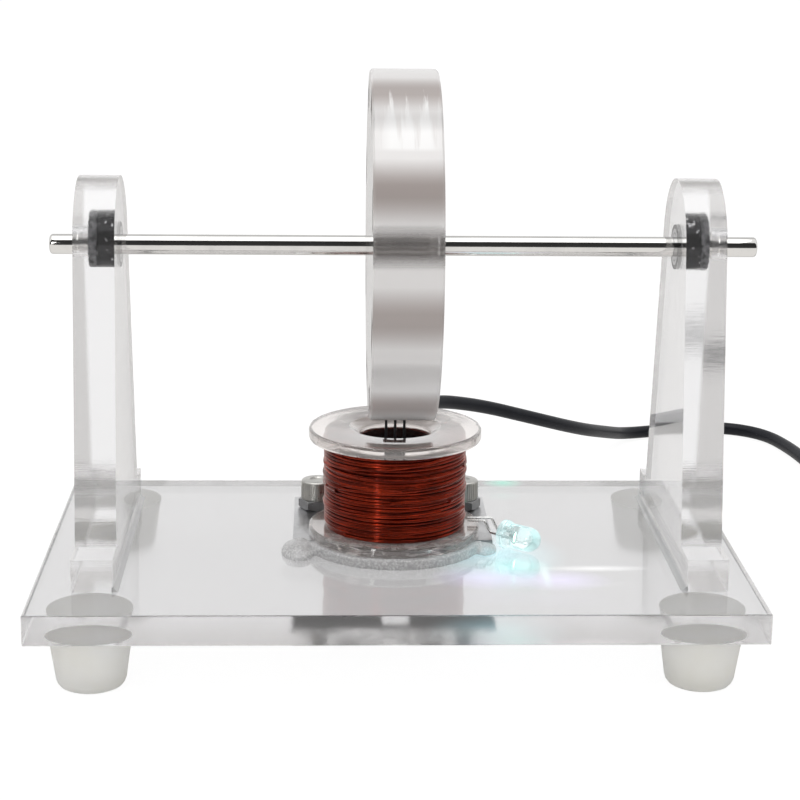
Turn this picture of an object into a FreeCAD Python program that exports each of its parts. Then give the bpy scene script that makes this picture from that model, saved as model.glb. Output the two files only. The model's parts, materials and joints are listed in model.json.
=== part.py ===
import FreeCAD, Part
import math
import os

import Sketcher
from FreeCAD import Placement, Rotation, Vector

# Brushless demonstration motor on a clear acrylic stand.
#
# A clear disc with bar magnets in its rim turns on a steel shaft in two small ball bearings.
# One coil stands under the rim, and a Hall sensor in the coil's bore tells the driver behind
# it when a magnet passes. All lengths are in millimetres. +X runs along the shaft, +Y points
# to the cable side and +Z up. The origin is on the surface under the feet, in the middle of
# the motor's box.

# Driving dimensions: each becomes a cell of the sheet, with the name as its alias.
DIMENSIONS = {
    # base plate and feet
    "base_len": 140, "base_wid": 87, "base_thk": 6,
    "foot_high": 11, "foot_top_dia": 16.4, "foot_low_dia": 13.2, "foot_round": 1.5,
    "foot_in_x": 11.7, "foot_in_y": 9,
    # uprights
    "up_thk": 8, "up_left_in": 7.8, "up_right_in": 6.2, "ledge_half": 31, "ledge_high": 6.5,
    "body_half": 23, "crown_rad": 13.6, "axis_high": 61.8,
    # shaft and bearings
    "shaft_dia": 4, "shaft_left": 6, "shaft_right": 8.4, "shaft_cham": 0.4, "shaft_play": 0.02,
    "brg_dia": 9, "brg_wid": 4, "brg_play": 0.05, "pocket_deep": 5.8, "shaft_hole": 5,
    "race_in": 2.75, "race_out": 3.75, "ball_dia": 1.4, "ball_play": 0.1, "ball_count": 7,
    "ball_turn": 0.25, "cage_thk": 0.5, "cage_wid": 2.2, "shield_thk": 0.2, "shield_play": 0.1,
    # rotor
    "rotor_dia": 69.4, "rotor_thk": 13.2, "rotor_off": 1, "rotor_edge": 0.4,
    "mag_count": 8, "mag_len": 12.4, "mag_wid": 8, "mag_thk": 5, "mag_wall": 1.5, "mag_play": 0.05,
    # coil
    "bob_off": 0.4, "bob_dia": 35.06, "bob_high": 22.64, "low_flange": 2.08, "top_flange": 2.36,
    "bore_dia": 14.3, "core_dia": 16.4, "mouth_dia": 18.3, "mouth_deep": 1.2,
    "wind_dia": 29.6, "wind_play": 0.1, "lead_dia": 0.7, "lead_off": 7, "lead_high": 5.2,
    "lead_start": 5.6, "lead_rise": 0.8, "lead_in": 2, "lead_out": 3,
    "glue_over": 1, "glue_play": 0.05,
    "blob_left_x": -19.5, "blob_left_y": -7, "blob_left_len": 3.6, "blob_left_wid": 6,
    "blob_left_high": 2.6, "blob_right_x": 18.2, "blob_right_y": -5.5, "blob_right_len": 2.6,
    "blob_right_wid": 4, "blob_right_high": 1.8,
    # Hall sensor
    "hall_wid": 4.1, "hall_deep": 3, "hall_thk": 1.5, "hall_gap": 0.5, "hall_front": 6,
    "leg_dia": 0.55, "leg_pitch": 1.85, "leg_end": 17, "wire_dia": 1, "wire_lift": 0.1,
    "plug_high": 3.5, "plug_play": 0.1,
    # mounting bracket and its screws
    "plate_len": 40.7, "plate_front": 5.3, "plate_back": 24.3, "plate_thk": 2, "slot_wid": 5.4,
    "slot_front": 1.6, "ear_wid": 22, "ear_high": 19, "ear_bend": 1,
    "screw_dia": 4, "screw_off": 15.4, "screw_back": 17.2, "screw_len": 16, "screw_play": 0.15,
    "screw_round": 0.5,
    "head_dia": 7, "head_high": 4, "hex_flats": 3, "hex_deep": 2.2,
    "nut_flats": 7, "nut_high": 3.2, "thin_nut_high": 2.2, "nut_play": 0.05,
    # driver transistor
    "tab_wid": 10.2, "tab_thk": 1.3, "tab_low": 3.8, "tab_top": 15.5, "case_high": 9.2, "case_thk": 3.2,
    "pin_wid": 0.8, "pin_thk": 0.5, "pin_pitch": 2.54, "pin_set": 2.7, "pin_through": 1,
    "tab_hole": 3.6, "hole_down": 2.8, "bolt_dia": 3, "bolt_len": 8, "bolt_head": 5.5,
    "bolt_head_high": 2, "bolt_cham": 0.3, "bolt_nut": 5.5, "bolt_nut_high": 2.4,
    # driver board
    "board_len": 28, "board_wid": 10, "board_thk": 1.6, "board_gap": 1, "board_lift": 1.4,
    "board_hole": 1.2, "pad_len": 5, "pad_wid": 8, "pad_off": 9,
    "res_dia": 2.3, "res_len": 6.3, "diode_dia": 2.7, "diode_len": 5.2, "comp_span": 8,
    "comp_wire": 0.6, "comp_lift": 0.2, "res_x": -12.2, "res_pitch": 2.8, "diode_x": 10.6,
    "cap_dia": 5, "cap_high": 7, "cap_x": -3.4, "cap_edge": 0.8,
    # light-emitting diode
    "led_dia": 5, "led_rim_dia": 5.8, "led_rim": 1, "led_len": 8.7, "led_x": 22.7, "led_y": -3.7,
    "led_turn": -40, "led_pin": 0.5, "led_pitch": 2.54, "led_run": 2.4, "led_reach": 4,
    "led_rise": 2.2,
    # supply cable, its clip, coil, tie and plug
    "cable_dia": 3.3, "clip_off": 4.1, "clip_front": 36.2, "clip_len": 6.5, "clip_wid": 13,
    "clip_foot": 1.6, "clip_wall": 1.6, "clip_axis": 3.9, "clip_play": 0.1, "jacket_end": 0.6,
    "core_wire": 1.1, "core_pitch": 1.6, "core_run": 1.2, "core_reach": 3, "core_rise": 0.9,
    "floor_play": 0.05,
    "coil_x": 138, "coil_y": 85, "coil_mean": 36, "coil_wide": 3, "coil_tall": 2, "coil_lift": 0.7,
    "tie_wid": 3, "tie_thk": 0.5, "tie_play": 0.15,
    "jack_dia": 10, "jack_len": 17, "jack_neck_dia": 4.8, "jack_neck": 9, "jack_tip_dia": 5.5,
    "jack_tip": 9.5, "jack_bore": 2.1, "jack_flare": 0.6, "jack_collar": 1, "jack_floor": 1.5,
    "jack_x": 168.5, "jack_y": 85.5,
}

doc = FreeCAD.newDocument("HallMotor")
sheet = doc.addObject("Spreadsheet::Sheet", "Sizes")
for row, (name, value) in enumerate(DIMENSIONS.items(), start=1):
    sheet.set(f"A{row}", name)
    sheet.set(f"B{row}", str(value))
    sheet.setAlias(f"B{row}", name)
doc.recompute()


class Size:
    """A length that carries the sheet expression it comes from along with its value."""

    def __init__(self, words, value):
        self.words = words
        self.value = float(value)

    def _with(self, sign, other, value):
        return Size(f"({self.words} {sign} {size(other).words})", value)

    def __add__(self, other):
        return self._with("+", other, self.value + size(other).value)

    def __sub__(self, other):
        return self._with("-", other, self.value - size(other).value)

    def __mul__(self, other):
        return self._with("*", other, self.value * size(other).value)

    def __truediv__(self, other):
        return self._with("/", other, self.value / size(other).value)

    def __radd__(self, other):
        return size(other) + self

    def __rsub__(self, other):
        return size(other) - self

    def __rmul__(self, other):
        return size(other) * self

    def __neg__(self):
        return size(0) - self


def size(item):
    """The item as a Size; a plain number stands for itself."""
    return item if isinstance(item, Size) else Size(f"({float(item):.6f})", item)


class Sheet:
    """The sheet's cells by name."""

    def __getattr__(self, name):
        return Size("Sizes." + name, DIMENSIONS[name])


D = Sheet()
PARTS = {}

# How far the tool of a through cut runs past each face.
OVERRUN = 1
# A regular hexagon's width across its corners for one across its flats.
ACROSS_CORNERS = 2 / math.sqrt(3)

# Places that several pieces share, each counted from the surface or from the plate's middle.
MID_X = (D.up_right_in - D.shaft_right) / 2
LEFT_X = MID_X - D.base_len / 2
RIGHT_X = MID_X + D.base_len / 2
BASE_Z = D.foot_high
TOP_Z = BASE_Z + D.base_thk
AXIS_Z = TOP_Z + D.axis_high
LEFT_FACE = LEFT_X + D.up_left_in + D.up_thk
RIGHT_FACE = RIGHT_X - D.up_right_in - D.up_thk
COIL_X = MID_X + D.bob_off
ROTOR_X = COIL_X + D.rotor_off - D.rotor_thk / 2
PLATE_TOP = TOP_Z + D.plate_thk
BOARD_Z = TOP_Z + D.board_lift
BOARD_TOP = BOARD_Z + D.board_thk
BOARD_Y = D.plate_back + D.board_gap
BOLT_Z = TOP_Z + D.tab_low + D.tab_top - D.hole_down
CLIP_X = MID_X + D.clip_off
CLIP_Z = TOP_Z + D.clip_axis


# ---------------------------------------------------------------- building blocks

def place(item, x=0, y=0, z=0, rotation=None):
    """Put the item at x, y, z, which follow the sheet, and turn it."""
    item.Placement = Placement(Vector(), rotation or Rotation())
    for axis, where in zip("xyz", (x, y, z)):
        item.setExpression(f"Placement.Base.{axis}", size(where).words)
    return item


def keep(label, item):
    """Name the item as a sub-part of the motor."""
    item.Label = label
    PARTS[label] = item
    return item


def primitive(kind, **sizes):
    """A Part primitive whose properties follow the sheet."""
    item = doc.addObject("Part::" + kind, kind)
    for prop, length in sizes.items():
        item.setExpression(prop, size(length).words)
    return item


def box(x, y, z, length, width, height, rotation=None):
    """A box with its lowest corner at x, y, z."""
    return place(primitive("Box", Length=length, Width=width, Height=height), x, y, z, rotation)


def cylinder(x, y, z, radius, height, rotation=None):
    """A cylinder whose first end has its centre at x, y, z."""
    return place(primitive("Cylinder", Radius=radius, Height=height), x, y, z, rotation)


def cut(base, tool):
    """The base without the tool."""
    item = doc.addObject("Part::Cut", "Cut")
    item.Base = base
    item.Tool = tool
    return item


def fused(items):
    """One solid of the items."""
    item = doc.addObject("Part::MultiFuse", "Fuse")
    item.Shapes = items
    return item


def group(label, items):
    """A sub-part of several separate solids."""
    item = doc.addObject("Part::Compound", "Group")
    item.Links = items
    return keep(label, item)


def new_sketch(body, plane):
    """A sketch on one of the body's own origin planes."""
    sketch = body.newObject("Sketcher::SketchObject", "Sketch")
    support = [item for item in body.Origin.OriginFeatures if item.Role == plane]
    sketch.AttachmentSupport = (support[0], [""])
    sketch.MapMode = "FlatFace"
    return sketch


def pin_point(sketch, geometry, point, corner):
    """Tie a point of the sketch to its two coordinates, which follow the sheet."""
    for kind, axis, length in (("DistanceX", -2, corner[0]), ("DistanceY", -1, corner[1])):
        length = size(length)
        if length.words == size(0).words:
            sketch.addConstraint(Sketcher.Constraint("PointOnObject", geometry, point, axis))
            continue
        index = sketch.addConstraint(
            Sketcher.Constraint(kind, -1, 1, geometry, point, length.value))
        name = f"{kind[-1].lower()}{geometry}_{point}"
        sketch.renameConstraint(index, name)
        sketch.setExpression("Constraints." + name, length.words)


def vector(corner):
    return Vector(size(corner[0]).value, size(corner[1]).value, 0)


def polygon(body, plane, corners):
    """A closed outline of straight edges through the corners."""
    sketch = new_sketch(body, plane)
    count = len(corners)
    for index, corner in enumerate(corners):
        following = corners[(index + 1) % count]
        sketch.addGeometry(Part.LineSegment(vector(corner), vector(following)), False)
    for index, corner in enumerate(corners):
        sketch.addConstraint(
            Sketcher.Constraint("Coincident", index, 2, (index + 1) % count, 1))
        pin_point(sketch, index, 1, corner)
    return sketch


def circles(body, plane, centres, radius):
    """Equal circles about the centres."""
    sketch = new_sketch(body, plane)
    radius = size(radius)
    for index, centre in enumerate(centres):
        sketch.addGeometry(Part.Circle(vector(centre), Vector(0, 0, 1), radius.value), False)
        pin_point(sketch, index, 3, centre)
        rim = sketch.addConstraint(Sketcher.Constraint("Radius", index, radius.value))
        sketch.renameConstraint(rim, f"radius{index}")
        sketch.setExpression(f"Constraints.radius{index}", radius.words)
    return sketch


def new_body(label):
    body = doc.addObject("PartDesign::Body", "Body")
    body.Label = label
    return body


def pad(body, sketch, length, reverse=False):
    feature = body.newObject("PartDesign::Pad", "Pad")
    feature.Profile = sketch
    feature.setExpression("Length", size(length).words)
    feature.Reversed = reverse
    return feature


def pocket(body, sketch, depth=None, reverse=False):
    """Cut the sketch to a depth, or both ways through all."""
    feature = body.newObject("PartDesign::Pocket", "Pocket")
    feature.Profile = sketch
    feature.Reversed = reverse
    if depth is None:
        feature.Type = "ThroughAll"
        feature.Midplane = True
    else:
        feature.setExpression("Length", size(depth).words)
    return feature


def turned(label, axis, corners):
    """A turned piece. Corners are (along, radius) about X, or (radius, height) about Z."""
    body = new_body(label)
    plane, line = {"X": ("XY_Plane", "H_Axis"), "Z": ("XZ_Plane", "V_Axis")}[axis]
    sketch = polygon(body, plane, corners)
    feature = body.newObject("PartDesign::Revolution", "Revolution")
    feature.Profile = sketch
    feature.ReferenceAxis = (sketch, [line])
    feature.Angle = 360
    return body


def ring(label, axis, start, width, inner, outer):
    """A plain turned ring with a rectangular section."""
    corners = [(start, inner), (start, outer), (start + width, outer), (start + width, inner)]
    if axis == "Z":
        corners = [(radius, along) for along, radius in corners]
    return turned(label, axis, corners)


def edges_where(body, test):
    """The names of the tip's edges that pass the test."""
    doc.recompute()
    return [f"Edge{index}" for index, edge in enumerate(body.Tip.Shape.Edges, 1) if test(edge)]


def soften(body, kind, length, test):
    """Round or chamfer the edges that pass the test."""
    names = edges_where(body, test)
    base = body.Tip
    feature = body.newObject("PartDesign::" + kind, kind)
    feature.Base = (base, names)
    feature.setExpression("Radius" if kind == "Fillet" else "Size", size(length).words)
    return feature


def hexagon(x, y, z, flats, height, rotation=None):
    """A hexagonal prism whose first end has its centre at x, y, z."""
    prism = primitive("Prism", Circumradius=flats / 2 * ACROSS_CORNERS, Height=height)
    return place(prism, x, y, z, rotation)


def nut(x, y, z, flats, height, bore):
    """A hexagonal nut about a vertical screw."""
    hole = cylinder(x, y, z - OVERRUN, bore, height + 2 * OVERRUN)
    return cut(hexagon(x, y, z, flats, height), hole)


def socket_screw(x, y, z):
    """A cap screw with a hexagon socket, its head's underside at z and its shank below."""
    shank, head, bevel = D.screw_dia / 2, D.head_dia / 2, D.screw_round
    body = turned("socket screw", "Z", [
        (0, -D.screw_len), (shank - bevel, -D.screw_len), (shank, bevel - D.screw_len),
        (shank, 0), (head, 0), (head, D.head_high), (0, D.head_high)])
    soften(body, "Fillet", bevel, lambda edge: on_plane(edge, D.head_high))
    place(body, x, y, z)
    socket = hexagon(x, y, z + D.head_high - D.hex_deep, D.hex_flats, D.hex_deep + OVERRUN)
    return cut(body, socket)


def on_plane(edge, height, tolerance=0.001):
    """Whether the whole edge lies at that height."""
    box_of = edge.BoundBox
    level = size(height).value
    return abs(box_of.ZMin - level) < tolerance and abs(box_of.ZMax - level) < tolerance


def point(*coordinates):
    return Vector(*(size(item).value for item in coordinates))


def bend_radius(before, corner, after, widest=None):
    """The arc at a corner: as large as its two runs allow, or the widest that is asked for."""
    turn = (corner - before).getAngle(after - corner)
    shorter = min((corner - before).Length, (after - corner).Length)
    largest = 0.45 * shorter / math.tan(turn / 2)
    return largest if widest is None else min(size(widest).value, largest)


def rounded_path(points, widest=None):
    """Straight runs through the points, joined by tangent arcs, and the arcs' radii."""
    edges, radii = [], []
    start = points[0]
    for before, corner, after in zip(points, points[1:], points[2:]):
        radius = bend_radius(before, corner, after, widest)
        inward, outward = (corner - before).normalize(), (after - corner).normalize()
        half_turn = inward.getAngle(outward) / 2
        setback = radius * math.tan(half_turn)
        across = (outward - inward).normalize()
        arc_start, arc_end = corner - inward * setback, corner + outward * setback
        arc_middle = corner + across * (radius / math.cos(half_turn) - radius)
        edges.append(Part.LineSegment(start, arc_start).toShape())
        edges.append(Part.Arc(arc_start, arc_middle, arc_end).toShape())
        radii.append(radius)
        start = arc_end
    edges.append(Part.LineSegment(start, points[-1]).toShape())
    return Part.Wire(edges), radii


def swept(points, radius, widest=None):
    """A round wire or tube along the points, with the length and radii of its path."""
    path, radii = rounded_path(points, widest)
    circle = Part.Circle(points[0], points[1] - points[0], size(radius).value)
    tube = path.makePipeShell([Part.Wire(circle.toShape())], True, False)
    section = math.pi * size(radius).value ** 2
    assert abs(tube.Volume / (section * path.Length) - 1) < 0.01, "the sweep lost volume"
    return tube, path.Length, radii


def feature_of(shape, label="Shape"):
    item = doc.addObject("Part::Feature", "Shape")
    item.Label = label
    item.Shape = shape
    return item


def wire_run(points, diameter, widest):
    """One bent wire as its own object."""
    return feature_of(swept(points, diameter / 2, widest)[0])


# ---------------------------------------------------------------- stand

def make_base():
    """The clear base plate with clearance holes for the two coil screws."""
    body = new_body("base_plate")
    half = D.base_wid / 2
    pad(body, polygon(body, "XY_Plane", [
        (LEFT_X, -half), (RIGHT_X, -half), (RIGHT_X, half), (LEFT_X, half)]), D.base_thk)
    holes = [(MID_X - D.screw_off, D.screw_back), (MID_X + D.screw_off, D.screw_back)]
    pocket(body, circles(body, "XY_Plane", holes, D.screw_dia / 2 + D.screw_play))
    keep("base_plate", place(body, z=BASE_Z))


def make_feet():
    """Four tapered silicone feet, narrower and rounded at the bottom."""
    low, top = D.foot_low_dia / 2, D.foot_top_dia / 2
    for side, x in (("left", LEFT_X + D.foot_in_x), ("right", RIGHT_X - D.foot_in_x)):
        for end, sign in (("front", -1), ("back", 1)):
            body = turned("foot", "Z", [(0, 0), (low, 0), (top, D.foot_high), (0, D.foot_high)])
            soften(body, "Fillet", D.foot_round, lambda edge: on_plane(edge, 0))
            place(body, x, sign * (D.base_wid / 2 - D.foot_in_y), 0)
            keep(f"foot_{end}_{side}", body)


def upright_outline(body):
    """Foot block, tapered flanks and a round crown about the shaft's axis."""
    sketch = new_sketch(body, "YZ_Plane")
    crown, high = D.crown_rad.value, D.axis_high.value
    flank, ledge = D.body_half.value, D.ledge_high.value
    reach = math.hypot(flank, high - ledge)
    lean = math.acos(crown / reach) + math.atan2(ledge - high, flank)
    touch = Vector(crown * math.cos(lean), high + crown * math.sin(lean), 0)
    mirror = Vector(-touch.x, touch.y, 0)
    low = [(-D.ledge_half, 0), (D.ledge_half, 0), (D.ledge_half, D.ledge_high),
           (D.body_half, D.ledge_high)]
    back = [(-D.body_half, D.ledge_high), (-D.ledge_half, D.ledge_high)]
    stops = [vector(corner) for corner in low] + [touch]
    for here, there in zip(stops, stops[1:]):
        sketch.addGeometry(Part.LineSegment(here, there), False)
    circle = Part.Circle(Vector(0, high, 0), Vector(0, 0, 1), crown)
    sketch.addGeometry(Part.ArcOfCircle(circle, lean, math.pi - lean), False)
    stops = [mirror] + [vector(corner) for corner in back + low[:1]]
    for here, there in zip(stops, stops[1:]):
        sketch.addGeometry(Part.LineSegment(here, there), False)
    for first, second in ((0, 1), (1, 2), (2, 3), (5, 6), (6, 7), (7, 0)):
        sketch.addConstraint(Sketcher.Constraint("Coincident", first, 2, second, 1))
    for index, corner in enumerate(low):
        pin_point(sketch, index, 1, corner)
    for index, corner in zip((6, 7), back):
        pin_point(sketch, index, 1, corner)
    pin_point(sketch, 4, 3, (0, D.axis_high))
    rim = sketch.addConstraint(Sketcher.Constraint("Radius", 4, crown))
    sketch.renameConstraint(rim, "crown")
    sketch.setExpression("Constraints.crown", D.crown_rad.words)
    sketch.addConstraint(Sketcher.Constraint("Tangent", 3, 2, 4, 1))
    sketch.addConstraint(Sketcher.Constraint("Tangent", 4, 2, 5, 1))
    return sketch


def make_upright(side, face, rotation):
    """A clear upright with a blind bearing pocket in its inner face and a shaft hole."""
    body = new_body("upright")
    pad(body, upright_outline(body), D.up_thk)
    axis = [(0, D.axis_high)]
    pocket(body, circles(body, "YZ_Plane", axis, D.brg_dia / 2 + D.brg_play), D.pocket_deep, True)
    pocket(body, circles(body, "YZ_Plane", axis, D.shaft_hole / 2))
    keep(f"{side}_upright", place(body, face, 0, TOP_Z, rotation))


# ---------------------------------------------------------------- shaft, bearings and rotor

def make_shaft():
    """The polished shaft, chamfered at both ends."""
    start = LEFT_X + D.up_left_in - D.shaft_left
    length = RIGHT_X - D.up_right_in + D.shaft_right - start
    radius, bevel = D.shaft_dia / 2, D.shaft_cham
    body = turned("shaft", "X", [
        (0, 0), (0, radius - bevel), (bevel, radius), (length - bevel, radius),
        (length, radius - bevel), (length, 0)])
    keep("shaft", place(body, start, 0, AXIS_Z))


def make_bearing(side, face, outward):
    """Ball bearing, flush with the upright's inner face, in five kinds of piece."""
    half = D.brg_wid / 2
    middle = face + outward * half
    pitch = (D.race_in + D.race_out) / 2
    rail = primitive("Torus", Radius1=pitch, Radius2=D.ball_dia / 2 + D.ball_play)
    place(rail, middle, 0, AXIS_Z, Rotation(Vector(0, 1, 0), 90))
    bore = D.shaft_dia / 2 + D.shaft_play
    for name, inner, outer in (("inner_ring", bore, D.race_in),
                               ("outer_ring", D.race_out, D.brg_dia / 2)):
        blank = place(ring(name, "X", -half, D.brg_wid, inner, outer), middle, 0, AXIS_Z)
        keep(f"{side}_bearing_{name}", cut(blank, rail))
    balls, pockets = [], []
    for index in range(DIMENSIONS["ball_count"]):
        angle = 2 * math.pi * (index + DIMENSIONS["ball_turn"]) / DIMENSIONS["ball_count"]
        spot = (middle, pitch * math.cos(angle), AXIS_Z + pitch * math.sin(angle))
        balls.append(place(primitive("Sphere", Radius=D.ball_dia / 2), *spot))
        pockets.append(place(primitive("Sphere", Radius=D.ball_dia / 2 + D.ball_play), *spot))
    group(f"{side}_bearing_balls", balls)
    cage = ring("cage", "X", -D.cage_wid / 2, D.cage_wid,
                pitch - D.cage_thk / 2, pitch + D.cage_thk / 2)
    place(cage, middle, 0, AXIS_Z)
    for hollow in pockets:
        cage = cut(cage, hollow)
    keep(f"{side}_bearing_cage", cage)
    shields = []
    for start in (-half, half - D.shield_thk):
        plate = ring("shield", "X", start, D.shield_thk, D.race_in + D.shield_play,
                     D.race_out - D.brg_play)
        shields.append(place(plate, middle, 0, AXIS_Z))
    group(f"{side}_bearing_shields", shields)


def make_bearing_glue(side, face, outward):
    """The bead of retaining compound behind the bearing, at the pocket's blind end."""
    width = D.pocket_deep - D.brg_wid
    start = face + outward * D.brg_wid - (width if outward < 0 else 0)
    body = ring("glue", "X", 0, width, D.race_out, D.brg_dia / 2)
    keep(f"{side}_bearing_glue", place(body, start, 0, AXIS_Z))


def magnet_phase():
    """Half a pitch, so that the coil lies midway between two magnets at rest."""
    return 180 / DIMENSIONS["mag_count"]


def make_rotor():
    """The clear disc, bored for the shaft, with a slot for each magnet near its rim."""
    edge, radius = D.rotor_edge, D.rotor_dia / 2
    bore = D.shaft_dia / 2 + D.shaft_play
    body = turned("rotor_disc", "X", [
        (0, bore), (0, radius - edge), (edge, radius), (D.rotor_thk - edge, radius),
        (D.rotor_thk, radius - edge), (D.rotor_thk, bore)])
    half, top = D.mag_wid / 2 + D.mag_play, radius - D.mag_wall
    low = top - D.mag_thk - 2 * D.mag_play
    slot = pocket(body, polygon(body, "YZ_Plane", [
        (-half, low), (half, low), (half, top), (-half, top)]))
    pattern = body.newObject("PartDesign::PolarPattern", "Slots")
    pattern.Originals = [slot]
    spin_axis = [item for item in body.Origin.OriginFeatures if item.Role == "X_Axis"]
    pattern.Axis = (spin_axis[0], [""])
    pattern.Angle = 360
    pattern.setExpression("Occurrences", D.mag_count.words)
    body.Tip = pattern
    turn = Rotation(Vector(1, 0, 0), magnet_phase())
    keep("rotor_disc", place(body, ROTOR_X, 0, AXIS_Z, turn))


def make_magnets():
    """Bar magnets in the rotor's slots, centred in its thickness."""
    low = D.rotor_dia / 2 - D.mag_wall - D.mag_play - D.mag_thk
    start = ROTOR_X + (D.rotor_thk - D.mag_len) / 2
    bars = []
    for index in range(DIMENSIONS["mag_count"]):
        angle = magnet_phase() + 360 * index / DIMENSIONS["mag_count"]
        cosine, sine = math.cos(math.radians(angle)), math.sin(math.radians(angle))
        y = -cosine * D.mag_wid / 2 - sine * low
        z = AXIS_Z + cosine * low - sine * D.mag_wid / 2
        bars.append(box(start, y, z, D.mag_len, D.mag_wid, D.mag_thk,
                        Rotation(Vector(1, 0, 0), angle)))
    group("rotor_magnets", bars)


# ---------------------------------------------------------------- coil and sensor

def make_bobbin():
    """Clear bobbin with two flanges and a countersunk bore."""
    rim, core, bore = D.bob_dia / 2, D.core_dia / 2, D.bore_dia / 2
    under = D.bob_high - D.top_flange
    body = turned("coil_bobbin", "Z", [
        (bore, 0), (rim, 0), (rim, D.low_flange), (core, D.low_flange), (core, under),
        (rim, under), (rim, D.bob_high), (D.mouth_dia / 2, D.bob_high),
        (bore, D.bob_high - D.mouth_deep)])
    keep("coil_bobbin", place(body, COIL_X, 0, PLATE_TOP))


def make_winding():
    """The enamelled winding between the flanges."""
    height = D.bob_high - D.low_flange - D.top_flange - 2 * D.wind_play
    body = ring("coil_winding", "Z", 0, height, D.core_dia / 2 + D.wind_play, D.wind_dia / 2)
    keep("coil_winding", place(body, COIL_X, 0, PLATE_TOP + D.low_flange + D.wind_play))


def make_coil_leads():
    """Two ends of the winding, through the bracket's ear and down to the board."""
    outside = (D.wind_dia / 2 + D.lead_dia / 2).value
    start_y = math.sqrt(outside ** 2 - D.lead_start.value ** 2)
    back_y = D.plate_back + D.lead_out
    level = TOP_Z + D.lead_high
    leads = []
    for side in (-1, 1):
        x = MID_X + side * D.lead_off
        leads.append(wire_run([
            point(COIL_X + side * D.lead_start, start_y, level + D.lead_rise),
            point(x, D.plate_back - D.plate_thk - D.lead_in, level),
            point(x, back_y, level), point(x, back_y, BOARD_TOP)], D.lead_dia, D.lead_dia))
    group("coil_leads", leads)


def make_coil_glue():
    """Clear glue under the front half of the bobbin, with a blob at each side."""
    rim = D.bob_dia / 2
    layer = cylinder(COIL_X, 0, TOP_Z, rim + D.glue_over, D.plate_thk)
    left_blob = primitive("Ellipsoid", Radius1=D.blob_left_high, Radius2=D.blob_left_len,
                          Radius3=D.blob_left_wid, Angle1=0)
    right_blob = primitive("Ellipsoid", Radius1=D.blob_right_high, Radius2=D.blob_right_len,
                           Radius3=D.blob_right_wid, Angle1=0)
    blobs = [layer, place(left_blob, COIL_X + D.blob_left_x, D.blob_left_y, TOP_Z),
             place(right_blob, COIL_X + D.blob_right_x, D.blob_right_y, TOP_Z)]
    spool = cylinder(COIL_X, 0, PLATE_TOP, rim + D.glue_play, D.bob_high)
    plate = box(MID_X - D.plate_len, -D.plate_front - D.glue_play, TOP_Z - D.plate_thk,
                2 * D.plate_len, D.plate_len, 2 * D.plate_thk)
    keep("coil_glue", cut(fused(blobs), fused([spool, plate])))


def hall_offsets():
    return [step * D.leg_pitch for step in (-1, 0, 1)]


def make_hall_sensor():
    """The sensor, flat under the rim, on three legs that reach down into the bobbin's bore."""
    top = AXIS_Z - D.rotor_dia / 2 - D.hall_gap
    level = top - D.hall_thk / 2
    left = COIL_X - D.hall_wid / 2
    body = new_body("hall_sensor")
    pad(body, polygon(body, "XY_Plane", [
        (0, 0), (D.hall_wid, 0), (D.hall_wid, D.hall_deep - D.hall_thk / 2),
        (D.hall_wid - D.hall_thk / 2, D.hall_deep), (D.hall_thk / 2, D.hall_deep),
        (0, D.hall_deep - D.hall_thk / 2)]), D.hall_thk)
    keep("hall_sensor", place(body, left, D.hall_front, top - D.hall_thk))
    leg_end = top - D.leg_end
    low = TOP_Z + D.wire_dia / 2 + D.wire_lift
    legs, wires = [], []
    for offset in hall_offsets():
        x = COIL_X + offset
        legs.append(wire_run([point(x, D.hall_front, level), point(x, 0, level),
                              point(x, 0, leg_end)], D.leg_dia, D.leg_dia))
        wires.append(wire_run([point(x, 0, leg_end), point(x, 0, low),
                               point(x, BOARD_Y + D.wire_dia, low)], D.wire_dia, D.wire_dia))
    group("hall_legs", legs)
    group("hall_wires", wires)


def make_hall_glue():
    """The clear plug at the bottom of the bore that holds the sensor's wires."""
    plug = cylinder(COIL_X, 0, PLATE_TOP, D.bore_dia / 2 - D.plug_play, D.plug_high)
    holes = [cylinder(COIL_X + offset, 0, PLATE_TOP - OVERRUN, D.wire_dia / 2 + D.plug_play,
                      D.plug_high + 2 * OVERRUN) for offset in hall_offsets()]
    keep("hall_glue", cut(plug, fused(holes)))


# ---------------------------------------------------------------- bracket and fasteners

def make_bracket():
    """The aluminium plate under the coil, with a bent-up ear that cools the transistor."""
    body = new_body("coil_bracket")
    half, ear, inner = D.plate_len / 2, D.ear_wid / 2, D.plate_back - D.plate_thk
    pad(body, polygon(body, "XY_Plane", [
        (-half, -D.plate_front), (half, -D.plate_front), (half, D.plate_back),
        (-half, D.plate_back)]), D.plate_thk)
    pad(body, polygon(body, "XY_Plane", [
        (-ear, inner), (ear, inner), (ear, D.plate_back), (-ear, D.plate_back)]), D.ear_high)
    soften(body, "Fillet", D.ear_bend,
           lambda edge: on_plane(edge, D.plate_thk) and lies_at_y(edge, inner))
    slot = D.slot_wid / 2
    centre = D.bob_off
    pocket(body, polygon(body, "XY_Plane", [
        (centre - slot, -D.slot_front), (centre + slot, -D.slot_front),
        (centre + slot, D.plate_back), (centre - slot, D.plate_back)]), D.plate_thk, True)
    holes = [(-D.screw_off, D.screw_back), (D.screw_off, D.screw_back)]
    pocket(body, circles(body, "XY_Plane", holes, D.screw_dia / 2 + D.screw_play),
           D.plate_thk, True)
    pocket(body, circles(body, "XZ_Plane", [(0, BOLT_Z - TOP_Z)], D.bolt_dia / 2 + D.screw_play))
    pocket(body, circles(body, "XZ_Plane", [(-D.lead_off, D.lead_high), (D.lead_off, D.lead_high)],
                         D.lead_dia))
    keep("coil_bracket", place(body, MID_X, 0, TOP_Z))


def lies_at_y(edge, where, tolerance=0.001):
    box_of = edge.BoundBox
    level = size(where).value
    return abs(box_of.YMin - level) < tolerance and abs(box_of.YMax - level) < tolerance


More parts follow.
